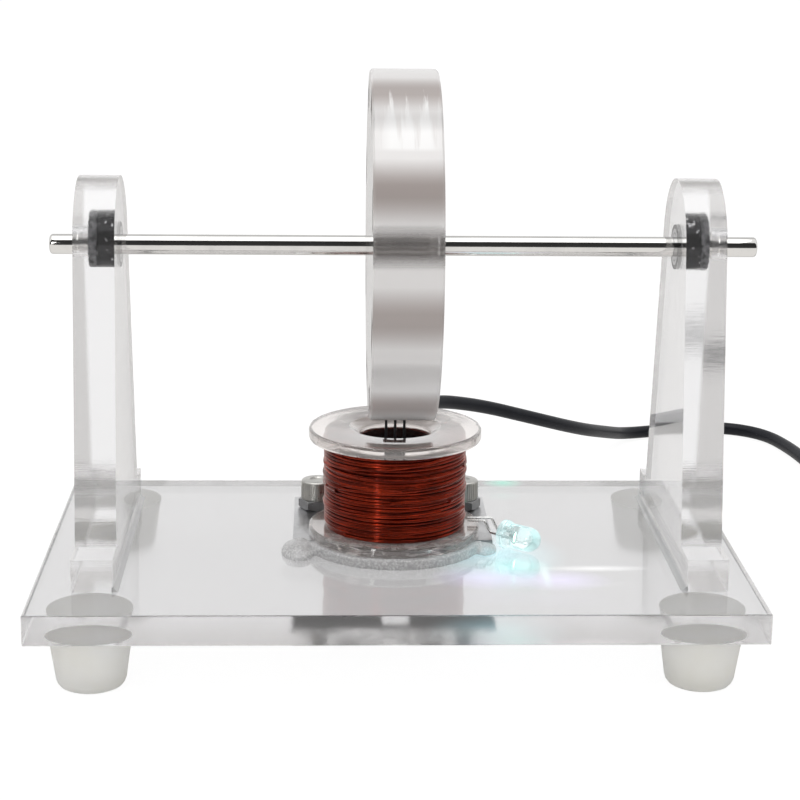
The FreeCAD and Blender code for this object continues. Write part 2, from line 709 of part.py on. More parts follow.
def make_coil_screws():
    """Two cap screws through thin nuts, bracket and base, with a nut below each."""
    screws, thin, low = [], [], []
    bore = D.screw_dia / 2 + D.nut_play
    for side in (-1, 1):
        x = MID_X + side * D.screw_off
        screws.append(socket_screw(x, D.screw_back, PLATE_TOP + D.thin_nut_high))
        thin.append(nut(x, D.screw_back, PLATE_TOP, D.nut_flats, D.thin_nut_high, bore))
        low.append(nut(x, D.screw_back, BASE_Z - D.nut_high, D.nut_flats, D.nut_high, bore))
    group("cap_screws", screws)
    group("thin_nuts", thin)
    group("base_nuts", low)


# ---------------------------------------------------------------- driver

def make_transistor():
    """The driver transistor, its tab screwed flat to the bracket's ear."""
    left, low = MID_X - D.tab_wid / 2, TOP_Z + D.tab_low
    back = D.plate_back + D.tab_thk
    tab = box(left, D.plate_back, low, D.tab_wid, D.tab_thk, D.tab_top)
    away = Rotation(Vector(1, 0, 0), -90)
    hole = cylinder(MID_X, D.plate_back - OVERRUN, BOLT_Z, D.tab_hole / 2,
                    D.tab_thk + 2 * OVERRUN, away)
    keep("transistor_tab", cut(tab, hole))
    body = new_body("transistor_case")
    edge = D.tab_thk / 2
    pad(body, polygon(body, "XY_Plane", [
        (0, 0), (D.tab_wid, 0), (D.tab_wid, D.case_thk - edge), (D.tab_wid - edge, D.case_thk),
        (edge, D.case_thk), (0, D.case_thk - edge)]), D.case_high)
    keep("transistor_case", place(body, left, back, low))
    pins = []
    for step in (-1, 0, 1):
        pins.append(box(MID_X + step * D.pin_pitch - D.pin_wid / 2,
                        D.plate_back + D.pin_set - D.pin_thk / 2, BOARD_Z - D.pin_through,
                        D.pin_wid, D.pin_thk, low - BOARD_Z + D.pin_through))
    group("transistor_leads", pins)


def make_transistor_screw():
    """The small screw and nut through tab and ear."""
    shank, head = D.bolt_dia / 2, D.bolt_head / 2
    length, bevel = D.bolt_len, D.bolt_cham
    body = turned("transistor_screw", "X", [
        (-length, 0), (-length, shank - bevel), (bevel - length, shank), (0, shank), (0, head),
        (D.bolt_head_high / 2, head), (D.bolt_head_high, head - D.bolt_head_high / 2),
        (D.bolt_head_high, 0)])
    place(body, MID_X, D.plate_back + D.tab_thk, BOLT_Z, Rotation(Vector(0, 0, 1), 90))
    keep("transistor_screw", body)
    face = D.plate_back - D.plate_thk
    toward = Rotation(Vector(1, 0, 0), 90)
    blank = hexagon(MID_X, face, BOLT_Z, D.bolt_nut, D.bolt_nut_high, toward)
    bore = cylinder(MID_X, face + OVERRUN, BOLT_Z, shank + D.nut_play,
                    D.bolt_nut_high + 2 * OVERRUN, toward)
    keep("transistor_nut", cut(blank, bore))


def make_board():
    """The driver's circuit board on two foam pads, with a hole for each transistor lead."""
    left = MID_X - D.board_len / 2
    blank = box(left, BOARD_Y, BOARD_Z, D.board_len, D.board_wid, D.board_thk)
    holes = [cylinder(MID_X + step * D.pin_pitch, D.plate_back + D.pin_set, BOARD_Z - OVERRUN,
                      D.board_hole / 2, D.board_thk + 2 * OVERRUN) for step in (-1, 0, 1)]
    keep("driver_board", cut(blank, fused(holes)))
    edge = (D.board_wid - D.pad_wid) / 2
    pads = [box(MID_X + side * D.pad_off - D.pad_len / 2, BOARD_Y + edge, TOP_Z,
                D.pad_len, D.pad_wid, D.board_lift) for side in (-1, 1)]
    group("board_pads", pads)


def axial_component(x, diameter, length):
    """A resistor or diode lying along Y, with both ends bent down to the board."""
    middle = BOARD_Y + D.board_wid / 2
    level = BOARD_TOP + D.comp_lift + diameter / 2
    half = D.comp_span / 2
    wire = swept([point(x, middle - half, BOARD_TOP), point(x, middle - half, level),
                  point(x, middle + half, level), point(x, middle + half, BOARD_TOP)],
                 D.comp_wire / 2, D.comp_wire)[0]
    radius = diameter.value / 2
    body = Part.makeCylinder(radius, length.value, point(x, middle - length / 2, level),
                             Vector(0, 1, 0))
    ends = [edge for edge in body.Edges if edge.Curve.TypeId == "Part::GeomCircle"]
    return body.makeFillet(radius / 4, ends).fuse(wire)


def make_board_components():
    """Two resistors, a diode and a small capacitor on the board."""
    first = MID_X + D.res_x
    resistors = [feature_of(axial_component(x, D.res_dia, D.res_len))
                 for x in (first, first + D.res_pitch)]
    group("board_resistors", resistors)
    keep("board_diode",
         feature_of(axial_component(MID_X + D.diode_x, D.diode_dia, D.diode_len)))
    radius, rim = D.cap_dia / 2, D.cap_dia / 20
    groove = D.cap_high / 5
    body = turned("board_capacitor", "Z", [
        (0, 0), (radius, 0), (radius, groove - rim), (radius - rim, groove),
        (radius, groove + rim), (radius, D.cap_high - rim), (radius - rim, D.cap_high),
        (0, D.cap_high)])
    place(body, MID_X + D.cap_x, BOARD_Y + D.board_wid - radius - D.cap_edge, BOARD_TOP)
    keep("board_capacitor", body)


# ---------------------------------------------------------------- light-emitting diode

def led_point(along, aside=0, up=0):
    """A point beside the diode's axis, counted from the underside of its rim."""
    angle = math.radians(DIMENSIONS["led_turn"])
    cosine, sine = math.cos(angle), math.sin(angle)
    return point(MID_X + D.led_x + along * cosine - aside * sine,
                 D.led_y + along * sine + aside * cosine, TOP_Z + D.led_rim_dia / 2 + up)


def make_led():
    """The clear diode, lying on the base, and its two legs to the winding."""
    rim, radius = D.led_rim_dia / 2, D.led_dia / 2
    straight = D.led_len - radius
    body = new_body("led_lens")
    sketch = new_sketch(body, "XY_Plane")
    outline = [(0, 0), (0, rim), (D.led_rim, rim), (D.led_rim, radius), (straight, radius)]
    for here, there in zip(outline, outline[1:]):
        sketch.addGeometry(Part.LineSegment(vector(here), vector(there)), False)
    dome = Part.Circle(vector((straight, 0)), Vector(0, 0, 1), radius.value)
    sketch.addGeometry(Part.ArcOfCircle(dome, 0, math.pi / 2), False)
    sketch.addGeometry(Part.LineSegment(vector((D.led_len, 0)), Vector()), False)
    for first, end, second, start in ((0, 2, 1, 1), (1, 2, 2, 1), (2, 2, 3, 1), (3, 2, 4, 2),
                                      (4, 1, 5, 1), (5, 2, 0, 1)):
        sketch.addConstraint(Sketcher.Constraint("Coincident", first, end, second, start))
    for index, corner in enumerate(outline[:-1]):
        pin_point(sketch, index, 1, corner)
    pin_point(sketch, 3, 2, outline[-1])
    pin_point(sketch, 4, 3, (straight, 0))
    sketch.addConstraint(Sketcher.Constraint("PointOnObject", 4, 1, -1))
    turn = body.newObject("PartDesign::Revolution", "Revolution")
    turn.Profile = sketch
    turn.ReferenceAxis = (sketch, ["H_Axis"])
    turn.Angle = 360
    heading = Rotation(Vector(0, 0, 1), DIMENSIONS["led_turn"])
    keep("led_lens", place(body, MID_X + D.led_x, D.led_y, TOP_Z + rim, heading))
    legs = []
    spool = Vector(COIL_X.value, 0, 0)
    for side in (-1, 1):
        aside = side * (D.led_pitch / 2).value
        rise = led_point(-D.led_reach, aside, D.led_rise)
        inward = (spool - Vector(rise.x, rise.y, 0)).normalize()
        reach = math.hypot(rise.x - spool.x, rise.y) - (D.wind_dia / 2 + D.led_pin / 2).value
        legs.append(wire_run([led_point(0, aside), led_point(-D.led_run, aside), rise,
                              rise + inward * reach], D.led_pin, 2 * D.led_pin))
    group("led_legs", legs)


# ---------------------------------------------------------------- supply cable

def make_clip():
    """The saddle that holds the cable to the back of the base."""
    front, radius = D.clip_front, D.cable_dia / 2
    outer = radius + D.clip_play + D.clip_wall
    back = Rotation(Vector(1, 0, 0), -90)
    foot = box(CLIP_X - D.clip_wid / 2, front, TOP_Z, D.clip_wid, D.clip_len, D.clip_foot)
    pillar = box(CLIP_X - outer, front, TOP_Z, 2 * outer, D.clip_len, D.clip_axis)
    crown = cylinder(CLIP_X, front, CLIP_Z, outer, D.clip_len, back)
    hole = cylinder(CLIP_X, front - OVERRUN, CLIP_Z, radius + D.clip_play,
                    D.clip_len + 2 * OVERRUN, back)
    keep("cable_clip", cut(fused([foot, pillar, crown]), hole))


def make_supply_wires():
    """The cable's two inner wires, from the end of its jacket down to the board."""
    start = D.clip_front - D.jacket_end
    wires = []
    for side in (-1, 1):
        x, aside = CLIP_X + side * D.core_pitch / 2, CLIP_X + side * D.core_pitch
        front = start - D.core_reach
        wires.append(wire_run([
            point(x, start, CLIP_Z), point(x, start - D.core_run, CLIP_Z),
            point(aside, front, CLIP_Z + D.core_rise), point(aside, front, BOARD_TOP)],
            D.core_wire, D.core_wire / 2))
    group("supply_wires", wires)


def cable_route():
    """The cable's way from its clip, over the floor, and into the outer turn of its coil."""
    start = D.clip_front - D.jacket_end
    outer_turn = (D.coil_mean + (D.coil_wide - 1) * D.cable_dia) / 2
    floor = D.cable_dia / 2 + D.floor_play
    return [
        point(CLIP_X, start, CLIP_Z), point(CLIP_X, 47, CLIP_Z),
        Vector(3.5, 60, 24.8), Vector(9, 76, 27.4), Vector(22.5, 88, 23.2), Vector(37, 97, 17.5),
        Vector(51, 109, 11.2), Vector(60.5, 125.5, 5.8), point(67, 138.5, floor + 0.1),
        point(80, 143, floor), point(95, 146, floor), point(106, 138.8, floor),
        point(110.2, 124, floor), point(112, 109, floor),
        point(D.coil_x - outer_turn - 1, 97, floor),
        point(D.coil_x - outer_turn, D.coil_y, D.coil_lift + D.cable_dia / 2)]


def tail_route():
    """The short end from the coil's upper outer turn to the plug."""
    outer_turn = (D.coil_mean + (D.coil_wide - 1) * D.cable_dia) / 2
    level = D.coil_lift + D.cable_dia * 1.5
    axis = D.jack_dia / 2
    return [
        point(D.coil_x, D.coil_y - outer_turn, level),
        point(D.coil_x + 12, D.coil_y - outer_turn - 0.4, level - 0.2),
        point(D.coil_x + 23, D.coil_y - outer_turn + 3.8, axis + 0.1),
        point(D.jack_x, D.jack_y - 9, axis),
        point(D.jack_x, D.jack_y, axis)]


def make_cable():
    """The cable's free stretches: from the clip to the coil, and from the coil to the plug."""
    for name, route in (("cable", cable_route()), ("cable_tail", tail_route())):
        tube, length, radii = swept(route, D.cable_dia / 2)
        keep(name, feature_of(tube, name))
        print(name, f"length {length:.1f}, arc radii", [round(radius, 1) for radius in radii])


def make_cable_coil():
    """The outer shape of the neat round coil, three turns wide and two high."""
    inner = (D.coil_mean - D.coil_wide * D.cable_dia) / 2
    outer = (D.coil_mean + D.coil_wide * D.cable_dia) / 2
    height, bevel = D.coil_tall * D.cable_dia, D.cable_dia / 4
    body = turned("cable_coil", "Z", [
        (inner, bevel), (inner + bevel, 0), (outer - bevel, 0), (outer, bevel),
        (outer, height - bevel), (outer - bevel, height), (inner + bevel, height),
        (inner, height - bevel)])
    keep("cable_coil", place(body, D.coil_x, D.coil_y, D.coil_lift))


def make_coil_tie():
    """A flat tie round the bundle of turns, with its twisted end on top."""
    wide, tall = D.coil_wide * D.cable_dia, D.coil_tall * D.cable_dia
    gap, wall = D.tie_play, D.tie_thk
    left = D.coil_x + (D.coil_mean - wide) / 2 - gap
    low = D.coil_lift - gap
    front = D.coil_y - D.tie_wid / 2
    outer = box(left - wall, front, low - wall, wide + 2 * (gap + wall), D.tie_wid,
                tall + 2 * (gap + wall))
    inner = box(left, front - OVERRUN, low, wide + 2 * gap, D.tie_wid + 2 * OVERRUN,
                tall + 2 * gap)
    twist = box(left + wide / 2 - wall, D.coil_y - wall, low + tall + 2 * gap + wall,
                2 * wall, 2 * wall, 3 * wall)
    keep("coil_tie", cut(fused([outer, twist]), inner))


def make_plug():
    """The low-voltage barrel plug: tapered boot and grip, and the hollow metal barrel."""
    neck, grip, barrel = D.jack_neck_dia / 2, D.jack_dia / 2, D.jack_tip_dia / 2
    end = D.jack_neck + D.jack_len
    bevel = D.jack_dia / 12
    grip_body = turned("plug_grip", "X", [
        (0, 0), (0, neck), (D.jack_neck, neck + D.jack_flare), (D.jack_neck, grip - bevel),
        (D.jack_neck + bevel, grip), (end - bevel, grip), (end, grip - bevel), (end, 0)])
    heading = Rotation(Vector(0, 0, 1), 90)
    keep("plug_grip", place(grip_body, D.jack_x, D.jack_y, grip, heading))
    collar = barrel + D.jack_flare
    tip = turned("plug_barrel", "X", [
        (0, 0), (0, collar), (D.jack_collar, collar), (D.jack_collar, barrel),
        (D.jack_tip, barrel), (D.jack_tip, D.jack_bore / 2), (D.jack_floor, D.jack_bore / 2),
        (D.jack_floor, 0)])
    keep("plug_barrel", place(tip, D.jack_x, D.jack_y + end, grip, heading))


# ---------------------------------------------------------------- the whole motor

make_base()
make_feet()
for side, face, outward in (("left", LEFT_FACE, -1), ("right", RIGHT_FACE, 1)):
    make_upright(side, face, Rotation(Vector(0, 0, 1), 180 if outward < 0 else 0))
    make_bearing(side, face, outward)
    make_bearing_glue(side, face, outward)
make_shaft()
make_rotor()
make_magnets()
make_bobbin()
make_winding()
make_coil_leads()
make_coil_glue()
make_hall_sensor()
make_hall_glue()
make_bracket()
make_coil_screws()
make_transistor()
make_transistor_screw()
make_board()
make_board_components()
make_led()
make_clip()
make_supply_wires()
make_cable()
make_cable_coil()
make_coil_tie()
make_plug()

doc.recompute()
faults = [f"{item.Label}: {item.State}" for item in doc.Objects
          if "Invalid" in item.State or "Error" in item.State]
faults += [f"{label}: null or invalid shape" for label, item in PARTS.items()
           if item.Shape.isNull() or not item.Shape.isValid() or item.Shape.Volume <= 0]
if faults:
    raise SystemExit("\n".join(faults))

os.makedirs("parts", exist_ok=True)
for label, item in PARTS.items():
    item.Shape.exportStep(f"parts/{label}.step")
print(len(PARTS), "sub-parts written")
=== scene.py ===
"""The looks of a demonstration electric motor: pieces, finishes, light and camera.

Places and sizes are in millimetres in the code and in metres in the meshes. The left of the
motor is at negative x, its front at negative y, and it stands on the floor at z 0.
"""

from __future__ import annotations

import json
import logging
import math
import random
from dataclasses import dataclass
from enum import Enum
from typing import Iterable, Sequence, Union

import bpy
from mathutils import Matrix, Vector

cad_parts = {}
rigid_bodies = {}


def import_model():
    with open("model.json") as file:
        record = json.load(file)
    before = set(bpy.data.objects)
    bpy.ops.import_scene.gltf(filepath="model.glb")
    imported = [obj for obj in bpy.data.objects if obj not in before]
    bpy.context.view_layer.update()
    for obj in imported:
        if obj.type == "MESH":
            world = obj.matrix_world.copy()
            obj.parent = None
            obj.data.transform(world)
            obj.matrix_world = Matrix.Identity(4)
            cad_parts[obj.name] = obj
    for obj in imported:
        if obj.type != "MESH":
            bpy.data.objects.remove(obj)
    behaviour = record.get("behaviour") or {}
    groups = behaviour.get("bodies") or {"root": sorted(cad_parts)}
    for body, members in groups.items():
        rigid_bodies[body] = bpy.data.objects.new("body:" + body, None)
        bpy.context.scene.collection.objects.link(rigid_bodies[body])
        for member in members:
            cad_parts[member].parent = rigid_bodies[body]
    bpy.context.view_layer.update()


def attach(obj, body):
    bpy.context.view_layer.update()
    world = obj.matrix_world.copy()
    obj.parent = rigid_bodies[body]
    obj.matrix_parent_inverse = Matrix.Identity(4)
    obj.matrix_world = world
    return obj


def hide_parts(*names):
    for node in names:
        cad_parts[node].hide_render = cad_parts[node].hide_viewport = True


LOG = logging.getLogger("motor")
MM = 0.001
CONTACT = 0.02
FULL_TURN = 2 * math.pi
AXIS_HEIGHT = 78.8
BASE_TOP = 17.0
COIL_CENTRE = (-0.7, 0.0)
SCREW_PLACES = ((-16.5, 17.2), (14.3, 17.2))

Colour = tuple[float, float, float]
Place = tuple[float, float, float]
Outline = Sequence[tuple[float, float]]
Feed = Union[bpy.types.NodeSocket, float, Colour]


class Axis(Enum):
    """The axis that a piece is turned about."""

    X = (1.0, 0.0, 0.0)
    Y = (0.0, 1.0, 0.0)
    Z = (0.0, 0.0, 1.0)

    @property
    def along(self) -> Vector:
        """The axis's own direction."""
        return Vector(self.value)

    @property
    def outward(self) -> Vector:
        """The direction in which radii are laid out."""
        return Vector((1.0, 0.0, 0.0)) if self is Axis.Z else Vector((0.0, 0.0, 1.0))


class Side(Enum):
    """A side of the motor, with the sign of its x."""

    LEFT = -1
    RIGHT = 1

    @property
    def label(self) -> str:
        """The side's name as the pieces have it."""
        return self.name.lower()


class Body(Enum):
    """What a new piece moves with."""

    STAND = "stand"
    ROTOR = "rotor"


class Joint(Enum):
    """Where a clear piece is cemented to its neighbour, so that no face shows."""

    NONE = "none"
    PLATE = "plate"
    UPRIGHT = "upright"


# ---------------------------------------------------------------- the bench


def clear_bench() -> None:
    """Deselects everything, so that the next operator works on one piece."""
    for item in bpy.context.view_layer.objects:
        item.select_set(False)


def metres(place: Iterable[float]) -> Vector:
    """Turns a place in millimetres into one in metres."""
    return Vector(place) * MM


class Workpiece:
    """One piece on the bench, shaped in edit mode and finished with applied modifiers."""

    def __init__(self, name: str, start: Place = (0.0, 0.0, 0.0)) -> None:
        """Starts a piece as a small plane merged to one point.

        Args:
            name: the piece's name.
            start: where the point lies.
        """
        clear_bench()
        bpy.ops.mesh.primitive_plane_add(size=MM, location=metres(start))
        self.item = bpy.context.object
        self.item.name = self.item.data.name = name
        bpy.ops.object.transform_apply(location=True, rotation=True, scale=True)
        self.edit()
        bpy.ops.mesh.merge(type="CENTER")
        self.leave()
        self.tip = Vector(start)

    @classmethod
    def from_node(cls, name: str, node: str, dissolve: float = 0.02) -> Workpiece:
        """Starts a piece as a merged copy of a CAD node's mesh.

        Args:
            name: the piece's name.
            node: the node that is copied.
            dissolve: the angle under which flat neighbours become one face.

        Returns:
            The piece.
        """
        piece = cls.__new__(cls)
        clear_bench()
        piece.item = bpy.data.objects.new(name, bpy.data.objects[node].data.copy())
        piece.item.data.name = name
        bpy.context.scene.collection.objects.link(piece.item)
        piece.edit()
        bpy.ops.mesh.remove_doubles(threshold=0.002 * MM)
        bpy.ops.mesh.dissolve_limited(angle_limit=dissolve)
        bpy.ops.mesh.normals_make_consistent(inside=False)
        piece.leave()
        return piece

    def pick(self) -> None:
        """Makes this the one selected and active piece."""
        clear_bench()
        self.item.select_set(True)
        bpy.context.view_layer.objects.active = self.item

    def edit(self) -> None:
        """Goes into edit mode with all of the piece selected."""
        self.pick()
        bpy.ops.object.mode_set(mode="EDIT")
        bpy.ops.mesh.select_all(action="SELECT")

    def leave(self) -> None:
        """Goes back to object mode."""
        bpy.ops.object.mode_set(mode="OBJECT")

    def run(self, places: Iterable[Sequence[float]]) -> Workpiece:
        """Extrudes the end point through the places, one edge each.

        Args:
            places: where it goes, in order.

        Returns:
            The piece.
        """
        self.edit()
        bpy.ops.mesh.select_all(action="DESELECT")
        self.leave()
        self.item.data.vertices[-1].select = True
        bpy.ops.object.mode_set(mode="EDIT")
        bpy.ops.mesh.select_mode(type="VERT")
        for place in places:
            step = Vector(place) - self.tip
            bpy.ops.mesh.extrude_region_move(TRANSFORM_OT_translate={"value": step * MM})
            self.tip = Vector(place)
        self.leave()
        return self

    def turn(self, axis: Axis, centre: Place, steps: int = 64) -> Workpiece:
        """Spins the drawn run once round the axis and closes the seam and the poles.

        Args:
            axis: the axis.
            centre: a place on it.
            steps: how many flats the round has.

        Returns:
            The piece.
        """
        self.edit()
        bpy.ops.mesh.spin(steps=steps, angle=FULL_TURN, center=metres(centre), axis=axis.value)
        bpy.ops.mesh.select_all(action="SELECT")
        bpy.ops.mesh.remove_doubles(threshold=0.001 * MM)
        bpy.ops.mesh.normals_make_consistent(inside=False)
        self.leave()
        return self

    def raise_outline(self, depth: Sequence[float]) -> Workpiece:
        """Fills the drawn outline and extrudes it.

        Args:
            depth: how far and which way.

        Returns:
            The piece.
        """
        self.edit()
        bpy.ops.mesh.edge_face_add()
        bpy.ops.mesh.extrude_region_move(TRANSFORM_OT_translate={"value": metres(depth)})
        bpy.ops.mesh.select_all(action="SELECT")
        bpy.ops.mesh.normals_make_consistent(inside=False)
        self.leave()
        return self

    def modify(self, kind: str, **settings: object) -> Workpiece:
        """Adds a modifier and applies it.

        Args:
            kind: the modifier's type.
            settings: its own settings.

        Returns:
            The piece.
        """
        self.pick()
        modifier = self.item.modifiers.new(kind.lower(), kind)
        for name, value in settings.items():
            setattr(modifier, name, value)
        bpy.ops.object.modifier_apply(modifier=modifier.name)
        return self

    def bevel(self, width: float, segments: int = 2, angle: float = 40) -> Workpiece:
        """Breaks the edges that are sharper than the angle."""
        return self.modify("BEVEL", width=width * MM, segments=segments,
                           limit_method="ANGLE", angle_limit=math.radians(angle))

    def combine(self, tool: Workpiece, operation: str) -> Workpiece:
        """Works on the piece with a tool's shape and clears the tool away.

        Args:
            tool: a closed shape that shares no face with the piece.
            operation: what is done with it.

        Returns:
            The piece.
        """
        self.modify("BOOLEAN", operation=operation, solver="EXACT", object=tool.item)
        bpy.data.objects.remove(tool.item)
        return self

    def cut(self, tool: Workpiece) -> Workpiece:
        """Takes the tool's shape out of the piece."""
        return self.combine(tool, "DIFFERENCE")

    def keep_inside(self, tool: Workpiece) -> Workpiece:
        """Keeps only what lies inside the tool's shape."""
        return self.combine(tool, "INTERSECT")

    def clean(self) -> Workpiece:
        """Merges the corners that cuts left next to each other.

        Returns:
            The piece.
        """
        self.edit()
        bpy.ops.mesh.remove_doubles(threshold=0.002 * MM)
        self.leave()
        return self

    def place(self, at: Sequence[float] = (0, 0, 0), turn: float = 0.0,
              axis: Axis = Axis.Z) -> Workpiece:
        """Turns the piece about the origin, moves it and applies both.

        Args:
            at: how far it moves.
            turn: how far it turns first, in degrees.
            axis: the axis that it turns about.

        Returns:
            The piece.
        """
        self.pick()
        spin = Matrix.Rotation(math.radians(turn), 4, axis.along)
        self.item.matrix_world = Matrix.Translation(metres(at)) @ spin
        bpy.ops.object.transform_apply(location=True, rotation=True, scale=True)
        return self

    def repeat(self, moves: Iterable[Matrix]) -> Workpiece:
        """Copies the piece by each move and joins the copies into it.

        Args:
            moves: a matrix for each copy, in metres.

        Returns:
            The piece.
        """
        self.pick()
        extra = []
        for move in moves:
            twin = self.item.copy()
            twin.data = self.item.data.copy()
            twin.data.transform(move)
            bpy.context.scene.collection.objects.link(twin)
            extra.append(twin)
        for twin in extra:
            twin.select_set(True)
        bpy.ops.object.join()
        return self

    def spread(self, places: Sequence[tuple[float, float]]) -> Workpiece:
        """Moves the piece to the first place and copies it to the others.

        Args:
            places: the x and y of each.

        Returns:
            The piece.
        """
        (x, y), *others = places
        self.place((x, y, 0))
        return self.repeat(Matrix.Translation(metres((x2 - x, y2 - y, 0))) for x2, y2 in others)

    def absorb(self, *others: Workpiece) -> Workpiece:
        """Joins other pieces into this one.

        Args:
            others: the pieces, which end with this.

        Returns:
            The piece.
        """
        self.pick()
        for other in others:
            other.item.select_set(True)
        bpy.ops.object.join()
        return self

    def roughen(self, size: float, depth: float, seed: str) -> Workpiece:
        """Makes the surface lumpy.

        Args:
            size: the lumps' width.
            depth: how far the surface moves, peak to valley.
            seed: the pattern's name.

        Returns:
            The piece.
        """
        clouds = bpy.data.textures.new(seed, "CLOUDS")
        clouds.noise_scale = size * MM
        return self.modify("DISPLACE", texture=clouds, texture_coords="LOCAL",
                           strength=depth * MM, mid_level=0.5)

    def smooth(self, angle: float = 35) -> Workpiece:
        """Shades smooth across the blunter edges.

        Args:
            angle: the bluntest edge that stays sharp, in degrees.

        Returns:
            The piece.
        """
        self.pick()
        bpy.ops.object.shade_smooth_by_angle(angle=math.radians(angle))
        return self

    def hand_over(self, finish: Finish, body: Body = Body.STAND,
                  nodes: Sequence[str] = ()) -> bpy.types.Object:
        """Dresses the finished piece and fixes it to its body.

        Args:
            finish: its finish, which also names the record's material slot.
            body: what it moves with.
            nodes: the CAD nodes that it stands for.

        Returns:
            The piece's object.
        """
        return hand_over(self.item, finish, body, nodes)


def hand_over(item: bpy.types.Object, finish: Finish, body: Body = Body.STAND,
              nodes: Sequence[str] = ()) -> bpy.types.Object:
    """Dresses a finished object, fixes it to its body and reports it.

    Args:
        item: a mesh or curve at the origin.
        finish: its finish.
        body: what it moves with.
        nodes: the CAD nodes that it stands for.

    Returns:
        The same object.
    """
    item.data.materials.clear()
    item.data.materials.append(finish.material())
    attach(item, body.value)
    if nodes:
        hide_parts(*nodes)
    LOG.info("%s: %s on %s", item.name, finish.slot, body.value)
    return item


def dress(finish: Finish, *nodes: str) -> None:
    """Gives CAD nodes, whose shape stays, their finish.

    Args:
        finish: the finish.
        nodes: the nodes' names.
    """
    for node in nodes:
        bpy.data.objects[node].material_slots[0].material = finish.material()
        LOG.info("%s: %s", node, finish.slot)


def turned(name: str, axis: Axis, centre: Place, profile: Outline, steps: int = 64) -> Workpiece:
    """Makes a turned piece.

    Args:
        name: the piece's name.
        axis: the axis that it is turned about.
        centre: where the axis's zero lies.
        profile: distances along the axis, each with its radius.
        steps: how many flats the round has.

    Returns:
        The closed piece.
    """
    places = [Vector(centre) + axis.along * along + axis.outward * radius
              for along, radius in profile]
    piece = Workpiece(name, tuple(places[0])).run(places[1:])
    if profile[0][1] and profile[-1][1]:
        piece.run([places[0]])
    return piece.turn(axis, centre, steps)


def slab(name: str, corners: Sequence[Place], depth: Place) -> Workpiece:
    """Makes a piece of even thickness from its outline.

    Args:
        name: the piece's name.
        corners: the outline's corners, in order, in one plane.
        depth: the thickness as a direction.

    Returns:
        The closed piece.
    """
    return Workpiece(name, corners[0]).run(corners[1:]).raise_outline(depth)


def block(name: str, low: Place, high: Place) -> Workpiece:
    """Makes a rectangular blank.

    Args:
        name: the piece's name.
        low: its lowest corner.
        high: its highest corner.

    Returns:
        The closed piece.
    """
    corners = [(low[0], low[1], low[2]), (high[0], low[1], low[2]),
               (high[0], high[1], low[2]), (low[0], high[1], low[2])]
    return slab(name, corners, (0, 0, high[2] - low[2]))


def wire(name: str, runs: Sequence[Sequence[Place]], diameter: float,
         sides: int = 3) -> Workpiece:
    """Draws round wire along smooth lines and makes it a mesh.

    Args:
        name: the piece's name.
        runs: the points of each length of wire.
        diameter: its thickness.
        sides: how finely its round is divided.

    Returns:
        The piece, with closed ends.
    """
    line = bpy.data.curves.new(name, "CURVE")
    line.dimensions = "3D"
    line.bevel_depth, line.bevel_resolution = diameter / 2 * MM, sides
    line.use_fill_caps, line.resolution_u = True, 3
    for points in runs:
        lay_spline(line, points)
    item = bpy.data.objects.new(name, line)
    bpy.context.scene.collection.objects.link(item)
    piece = Workpiece.__new__(Workpiece)
    piece.item = item
    piece.pick()
    bpy.ops.object.convert(target="MESH")
    piece.item = bpy.context.object
    return piece.smooth(50)


def lay_spline(line: bpy.types.Curve, points: Sequence[Place]) -> None:
    """Adds a smooth spline to a curve.

    Args:
        line: the curve.
        points: the spline's control points.
    """
    spline = line.splines.new("NURBS")
    spline.points.add(len(points) - 1)
    for point, place in zip(spline.points, points):
        point.co = (*metres(place), 1.0)
    spline.order_u = 3
    spline.use_endpoint_u = True


# ---------------------------------------------------------------- finishes


